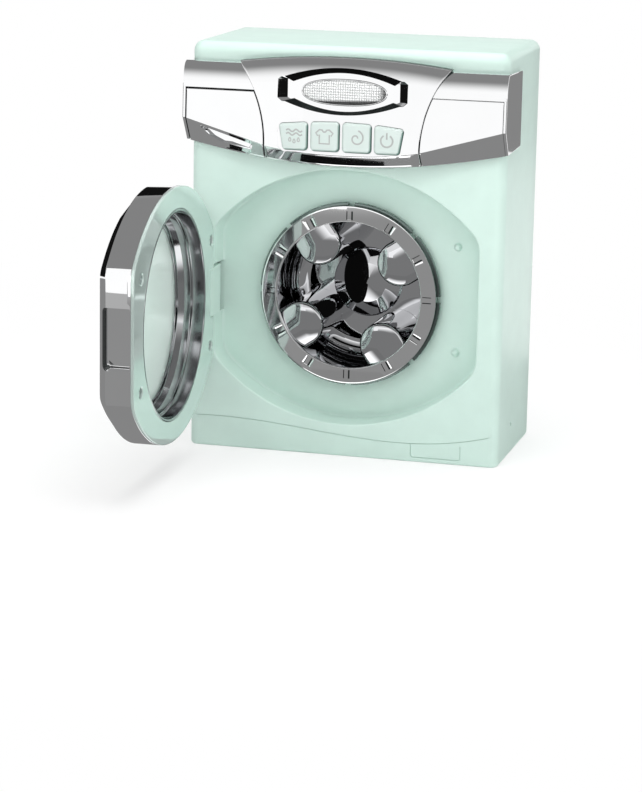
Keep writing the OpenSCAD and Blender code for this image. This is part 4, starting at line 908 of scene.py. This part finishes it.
def make_light():
    """The bezel, the raised rim round the lens and the lens."""
    outer = np.array(bezel_points(-1.22, -1.22, -1.22))
    ys = face_y(outer[:, 0], outer[:, 1], CENTRE_OUT, crown(outer[:, 0])) + 0.08
    mouth = np.stack([outer[:, 0], np.minimum(ys, LENS_FLOOR - 0.4), outer[:, 1]], 1)
    inner = flat_ring(bezel_points(-7.4, -4.8, -3.2), LENS_FLOOR)
    near, far = mouth + (inner - mouth) * 0.03, mouth + (inner - mouth) * 0.97
    back = mouth.copy()
    back[:, 1] = -60
    edge = flat_ring(bezel_points(-8.0, -5.3, -3.7), LENS_FLOOR)
    s = Shape().loft([back, mouth, near, far, inner, edge])
    # the lower wall is in shade: these faces of the three strips that slope
    for strip in (1, 2, 3):
        first = strip * len(outer)
        s.slots[first + 47:first + 89] = [1] * 42
    hole = flat_rings(lens_outline, ((0.3, LENS_FLOOR), (-1.25, LENS_FLOOR), (-1.25, LENS_FLOOR + 2)))
    s.fill(edge, [hole[0]]).loft(hole)
    piece(to_object("light_bezel", s, shaded_chrome, sharp=12), "cabinet", PLATED, "lens_bezel")
    rim = flat_rings(lens_outline, [(-0.65 + 0.65 * cos(rad(b)), LENS_FLOOR - 0.1 - 0.8 * sin(rad(b)))
                                    for b in range(0, 360, 24)])
    piece(to_object("light_rim", Shape().loft(rim + rim[:1]), chrome, sharp=60), "cabinet", PLATED)
    outline = np.array(lens_outline(-1.3))
    rings = [flat_ring(outline, y) for y in (LENS_FLOOR + 2.4, LENS_FLOOR - 0.6)]
    for q in np.linspace(0.04, 0.97, 22):
        dome = 1.6 * (1 - (1 - q) ** 5) ** 0.5
        rings.append(flat_ring((outline - LENS_IN) * (1 - q) + LENS_IN, LENS_FLOOR - 0.6 - dome))
    ob = to_object("light_clear_lens", Shape().solid(rings), lens_mat, sharp=60)
    piece(ob, "cabinet", "clear_lens", "light_lens")


def ribbon(shape, points, width, closed=False):
    """A thin raised line on a button's face."""
    y, tall, rings = BUTTON_FACE, 0.12, []
    for q, m in zip(np.array(points, float), normals(points, closed) * width / 2):
        rings.append(np.array([(q[0] + m[0] * k, y + dy, q[1] + m[1] * k) for k, dy in (
            (1, 0.3), (1, -tall * 0.6), (0.6, -tall), (-0.6, -tall), (-1, -tall * 0.6), (-1, 0.3))]))
    return shape.loft(rings + rings[:1]) if closed else shape.rod(rings)


def icon(i, cx, cz):
    """The generic picture on a button."""
    s = Shape()
    w, turn = 1.05, 2 * pi
    if i == 0:      # two waves over three drops
        for z in (cz + 3.4, cz + 3.4 - 2.4):
            ribbon(s, [(cx - 5.6 + 11.2 * t, z + 0.8 * sin(t * 2 * turn)) for t in np.linspace(0, 1, 49)], w)
        for k in (-1, 0, 1):
            x, z = cx + 3.0 * k, cz - 3.2 - (1.0 if k == 0 else 0)
            ribbon(s, [(x + 0.8 * sin(t), z - 0.8 * cos(t) + (1.0 * max(0, -cos(t)) ** 3))
                       for t in np.linspace(0, turn, 25)[:-1]], 0.7, True)
    elif i == 1:    # a shirt
        half = [(1.4, 4.6), (3.4, 4.9), (6.0, 2.6), (4.7, 0.7), (3.5, 1.5), (3.5, -4.6)]
        neck = [(-1.4 * cos(t), 4.6 - 1.3 * sin(t)) for t in np.linspace(0, pi, 9)][1:-1]
        ribbon(s, [(cx + a, cz + b) for a, b in half + [(-a, b) for a, b in reversed(half)] + neck], w, True)
    elif i == 2:    # a spiral
        ribbon(s, [(cx + (0.8 + 0.62 * t) * cos(t), cz + (0.8 + 0.62 * t) * sin(t))
                   for t in np.linspace(0.2, 7.6, 90)], w)
    else:           # the usual sign for on and off
        ribbon(s, [(cx + 4.1 * sin(t), cz - 0.6 + 4.1 * cos(t))
                   for t in np.linspace(rad(32), rad(328), 60)], w * 1.1)
        ribbon(s, [(cx, cz + 0.4), (cx, cz + 2.4), (cx, cz + 4.9)], w * 1.1)
    return s


def make_buttons():
    edge_y = BUTTON_FACE + 1.5
    prof = [(0.0, BUTTON_BACK), (0.0, edge_y)]
    prof += [(-1.9 * (1 - cos(rad(a))), edge_y - 1.4 * sin(rad(a))) for a in range(10, 91, 10)]
    prof += [(-2.6, BUTTON_FACE + 0.04), (-4.0, BUTTON_FACE)]
    for i in range(4):
        def outline(grow):
            return button_outline(i, grow)
        rings = flat_rings(outline, prof)
        flange = flat_rings(outline, ((0, BUTTON_BACK), (0.9, BUTTON_BACK), (0.9, FLANGE_BACK)))
        s = Shape().loft(rings).fill(rings[-1]).loft(flange).fill(flange[-1])
        name = "button_%d" % (i + 1)
        piece(to_object("push_" + name, s, button_mat, sharp=40), name, "mint_plastic", name)
        # the outer two lean in, so their pictures stand off the middle
        cx = button_x(i) + BUTTON_W / 2 + (1.0 if i == 0 else -1.0 if i == 3 else 0)
        g = icon(i, cx, BUTTON_Z0 + 10.0)
        piece(to_object("icon_%d" % (i + 1), g, icon_mat, sharp=40), name, "dark_plastic")


# The carried-over pieces get their finish, and four of them a fine rounding of their edges
def dress_nodes():
    finish = {name: m for m, names in (
        (mint, "rear_cover battery_door hinge_arm"), (mint_inner, "drawer_tray drawer_guide drum_frame"),
        (steel, "battery_contacts drum_shaft motor motor_shaft door_screws hinge_pin case_screws"),
        (dark_plastic, "speaker button_switches"), (white_plastic, "drum_gear motor_pinion"),
        (cell_mat, "batteries"), (lens_mat, "led_lamp"), (board_mat, "circuit_board"),
        (brass, "shaft_bush")) for name in names.split()}
    widths = {"rear_cover": 0.35, "battery_door": 0.3, "drawer_tray": 0.4, "hinge_arm": 0.5}
    for name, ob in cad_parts.items():
        ob.data.materials.clear()
        ob.data.materials.append(finish.get(name, chrome))
        if name in widths:
            ob.modifiers.new("weld", "WELD").merge_threshold = 0.00001
            b = ob.modifiers.new("edges", "BEVEL")
            b.width, b.segments = widths[name] * 0.001, 2
            b.limit_method, b.angle_limit, b.harden_normals = "ANGLE", rad(35), True


# Floor, light and reflected cards, in metres
def seen_directly(nt):
    """A value that is 1 for rays from the camera, in mirrors and through clear plastic."""
    ray = node(nt, "LightPath").outputs
    both = calc(nt, "MAXIMUM", ray["Is Camera Ray"], ray["Is Glossy Ray"])
    return calc(nt, "MAXIMUM", both, ray["Is Transmission Ray"])


def make_floor():
    """A white floor that looks evenly white but for a soft grey near the part."""
    me = bpy.data.meshes.new("floor")
    me.from_pydata([(-9, -9, 0), (9, -9, 0), (9, 9, 0), (-9, 9, 0)], [], QUAD)
    m, nt, p = new_mat("floor_white", (0.95, 0.95, 0.95), roughness=1.0, specular_ior_level=0.0)
    distance = node(nt, "VectorMath", {0: place_of(nt)}, operation="LENGTH").outputs["Value"]
    fade = map_range(nt, distance, 0.1, 0.75, 0.55, 1.0, "SMOOTHSTEP")
    mix = node(nt, "MixShader", {0: calc(nt, "MULTIPLY", fade, seen_directly(nt)), 1: p.outputs[0],
                                 2: node(nt, "Emission").outputs[0]})
    nt.links.new(mix.outputs[0], nt.nodes["Material Output"].inputs[0])
    me.materials.append(m)
    add_object("floor", me)


def make_world():
    world = bpy.data.worlds.new("world")
    scene.world = world
    world.use_nodes = True
    nt = world.node_tree
    soft_light = nt.nodes["Background"]
    soft_light.inputs["Color"].default_value = WHITE
    soft_light.inputs["Strength"].default_value = 0.52
    seen = node(nt, "Background", {"Color": WHITE})
    mix = node(nt, "MixShader", {0: seen_directly(nt), 1: soft_light.outputs[0], 2: seen.outputs[0]})
    nt.links.new(mix.outputs[0], nt.nodes["World Output"].inputs[0])


def area(name, place, aim, size, power):
    l = bpy.data.lights.new(name, "AREA")
    l.shape = "RECTANGLE"
    l.size, l.size_y = size
    l.energy = power
    ob = add_object(name, l)
    ob.location = place
    ob.rotation_euler = (Vector(aim) - Vector(place)).to_track_quat("-Z", "Y").to_euler()
    ob.visible_glossy = False
    ob.visible_camera = False


def card(name, points, faces, value, fade=None, end=1.0, axis="Z"):
    """A card that only mirrors see; over fade, two places on the axis, its grey turns from end to value."""
    name = "card_" + name
    me = bpy.data.meshes.new(name)
    me.from_pydata(points, [], faces)
    ob = add_object(name, me)
    m = bpy.data.materials.new(name)
    m.use_nodes = True
    nt = m.node_tree
    e = node(nt, "Emission", {"Color": WHITE if fade else (value, value, value, 1)})
    if fade:
        xyz = node(nt, "SeparateXYZ", {0: place_of(nt)}).outputs
        nt.links.new(map_range(nt, xyz[axis], *fade, end, value, "SMOOTHSTEP"), e.inputs["Strength"])
    nt.nodes.remove(nt.nodes["Principled BSDF"])
    nt.links.new(e.outputs[0], nt.nodes["Material Output"].inputs[0])
    me.materials.append(m)
    for kind in ("camera", "diffuse", "shadow", "transmission", "volume_scatter"):
        setattr(ob, "visible_" + kind, False)


def front_card(name, x0, x1, y, z0, z1, value):
    card(name, [(x0, y, z0), (x1, y, z0), (x1, y, z1), (x0, y, z1)], QUAD, value)


def floor_card(name, x0, x1, y0, y1, value, z=0.002, **fading):
    card(name, [(x0, y0, z), (x1, y0, z), (x1, y1, z), (x0, y1, z)], QUAD, value, **fading)


def oval_card(name, x, y, z, a, b, value):
    """An oval card facing the front."""
    turns = [2 * pi * i / 48 for i in range(48)]
    card(name, [(x + a * cos(t), y, z + b * sin(t)) for t in turns], [tuple(range(48))], value)


def upright_card(name, r, a0, a1, z0, z1, value, centre=(0, 0), **fading):
    """Part of a wall round the object; the angles run from the back, +y, to the left."""
    wall = arc(*centre, r, a0 + 90, a1 + 90, 24)
    s = Shape().loft([[(x, y, z) for x, y in wall] for z in (z0, z1)], closed=False)
    card(name, s.v, s.f, value, **fading)


def ceiling(name, value, low, high):
    """A dome that fades from white above the horizon to grey overhead."""
    r = 3.0
    s = Shape().loft([[(x, y, height) for x, y in circle(width, 48, 0, 0)]
                      for width, height in arc(0, 0, r, 8, 90, 24)])
    card(name, s.v, s.f, value, (r * sin(rad(low)), r * sin(rad(high))))


def make_stage():
    scene.view_settings.view_transform = "Standard"
    make_floor()
    make_world()
    area("key", (-1.05, -1.85, 1.2), (0, -0.05, 0.14), (1.0, 0.8), 5)
    area("top", (0.1, 0.0, 2.0), (0, 0, 0.1), (1.4, 1.4), 23)
    area("upper_front", (0.0, -0.24, 0.235), (0.0, -0.06, 0.2), (0.34, 0.03), 0.11)
    area("upper_top", (0.03, -0.34, 0.55), (0.0, -0.05, 0.28), (0.4, 0.1), 0.5)
    area("right", (1.7, -0.5, 0.7), (0.05, -0.05, 0.12), (0.8, 0.8), 4.5)
    black, grey = 0.006, 0.235
    ceiling("ceiling", 0.225, 12, 43)
    upright_card("back_dark", 2.4, -62, 62, 0.75, 2.9, black)
    floor_card("foot", -1.3, 0.65, -0.30, 0.3, grey)
    floor_card("foot_dark", -0.115, -0.005, -0.125, -0.088, 0.004, 0.003)
    upright_card("front_low", 0.6, 150, 215, 0.0, 0.172, 0.26, (0, 0.3), fade=(0.172, 0.122), end=1.4)
    floor_card("lobe_light", -0.085, 0.03, -0.238, -0.13, grey, 0.003, fade=(-0.165, -0.235), end=1.7, axis="Y")
    # painted shade: a dark card inside the drum, seen only in mirrors, darkens the drum's depths
    oval_card("drum_dark", -0.012, 0.003, 0.1145, 0.0125, 0.025, 0.004)
    floor_card("bezel_top", -0.055, 0.05, -0.155, -0.10, 0.004, 0.19)
    upright_card("right_front", 0.62, 208, 238, 0.02, 0.24, black)
    upright_card("left_front", 0.7, 98, 126, 0.02, 0.24, black)
    front_card("rim_light", -0.2, -0.1, -0.34, 0.163, 0.28, 1.02)
    front_card("block_light", -0.135, -0.1, -0.28, 0.1356, 0.172, 1.02)
    front_card("block_grey", -0.135, -0.1, -0.28, 0.124, 0.1356, 0.42)
    front_card("lobe_white", -0.1, -0.064, -0.285, 0.133, 0.168, 1.3)
    upright_card("left_back", 2.0, 32, 76, -0.1, 1.3, black)
    upright_card("right_low", 1.2, 228, 292, -0.05, 0.30, 0.008)
    upright_card("back_right", 1.6, 325, 375, -0.02, 0.30, grey)


set_camera()
make_cabinet()
make_ring()
make_bowl()
make_door()
make_panel()
make_buttons()
dress_nodes()
make_stage()
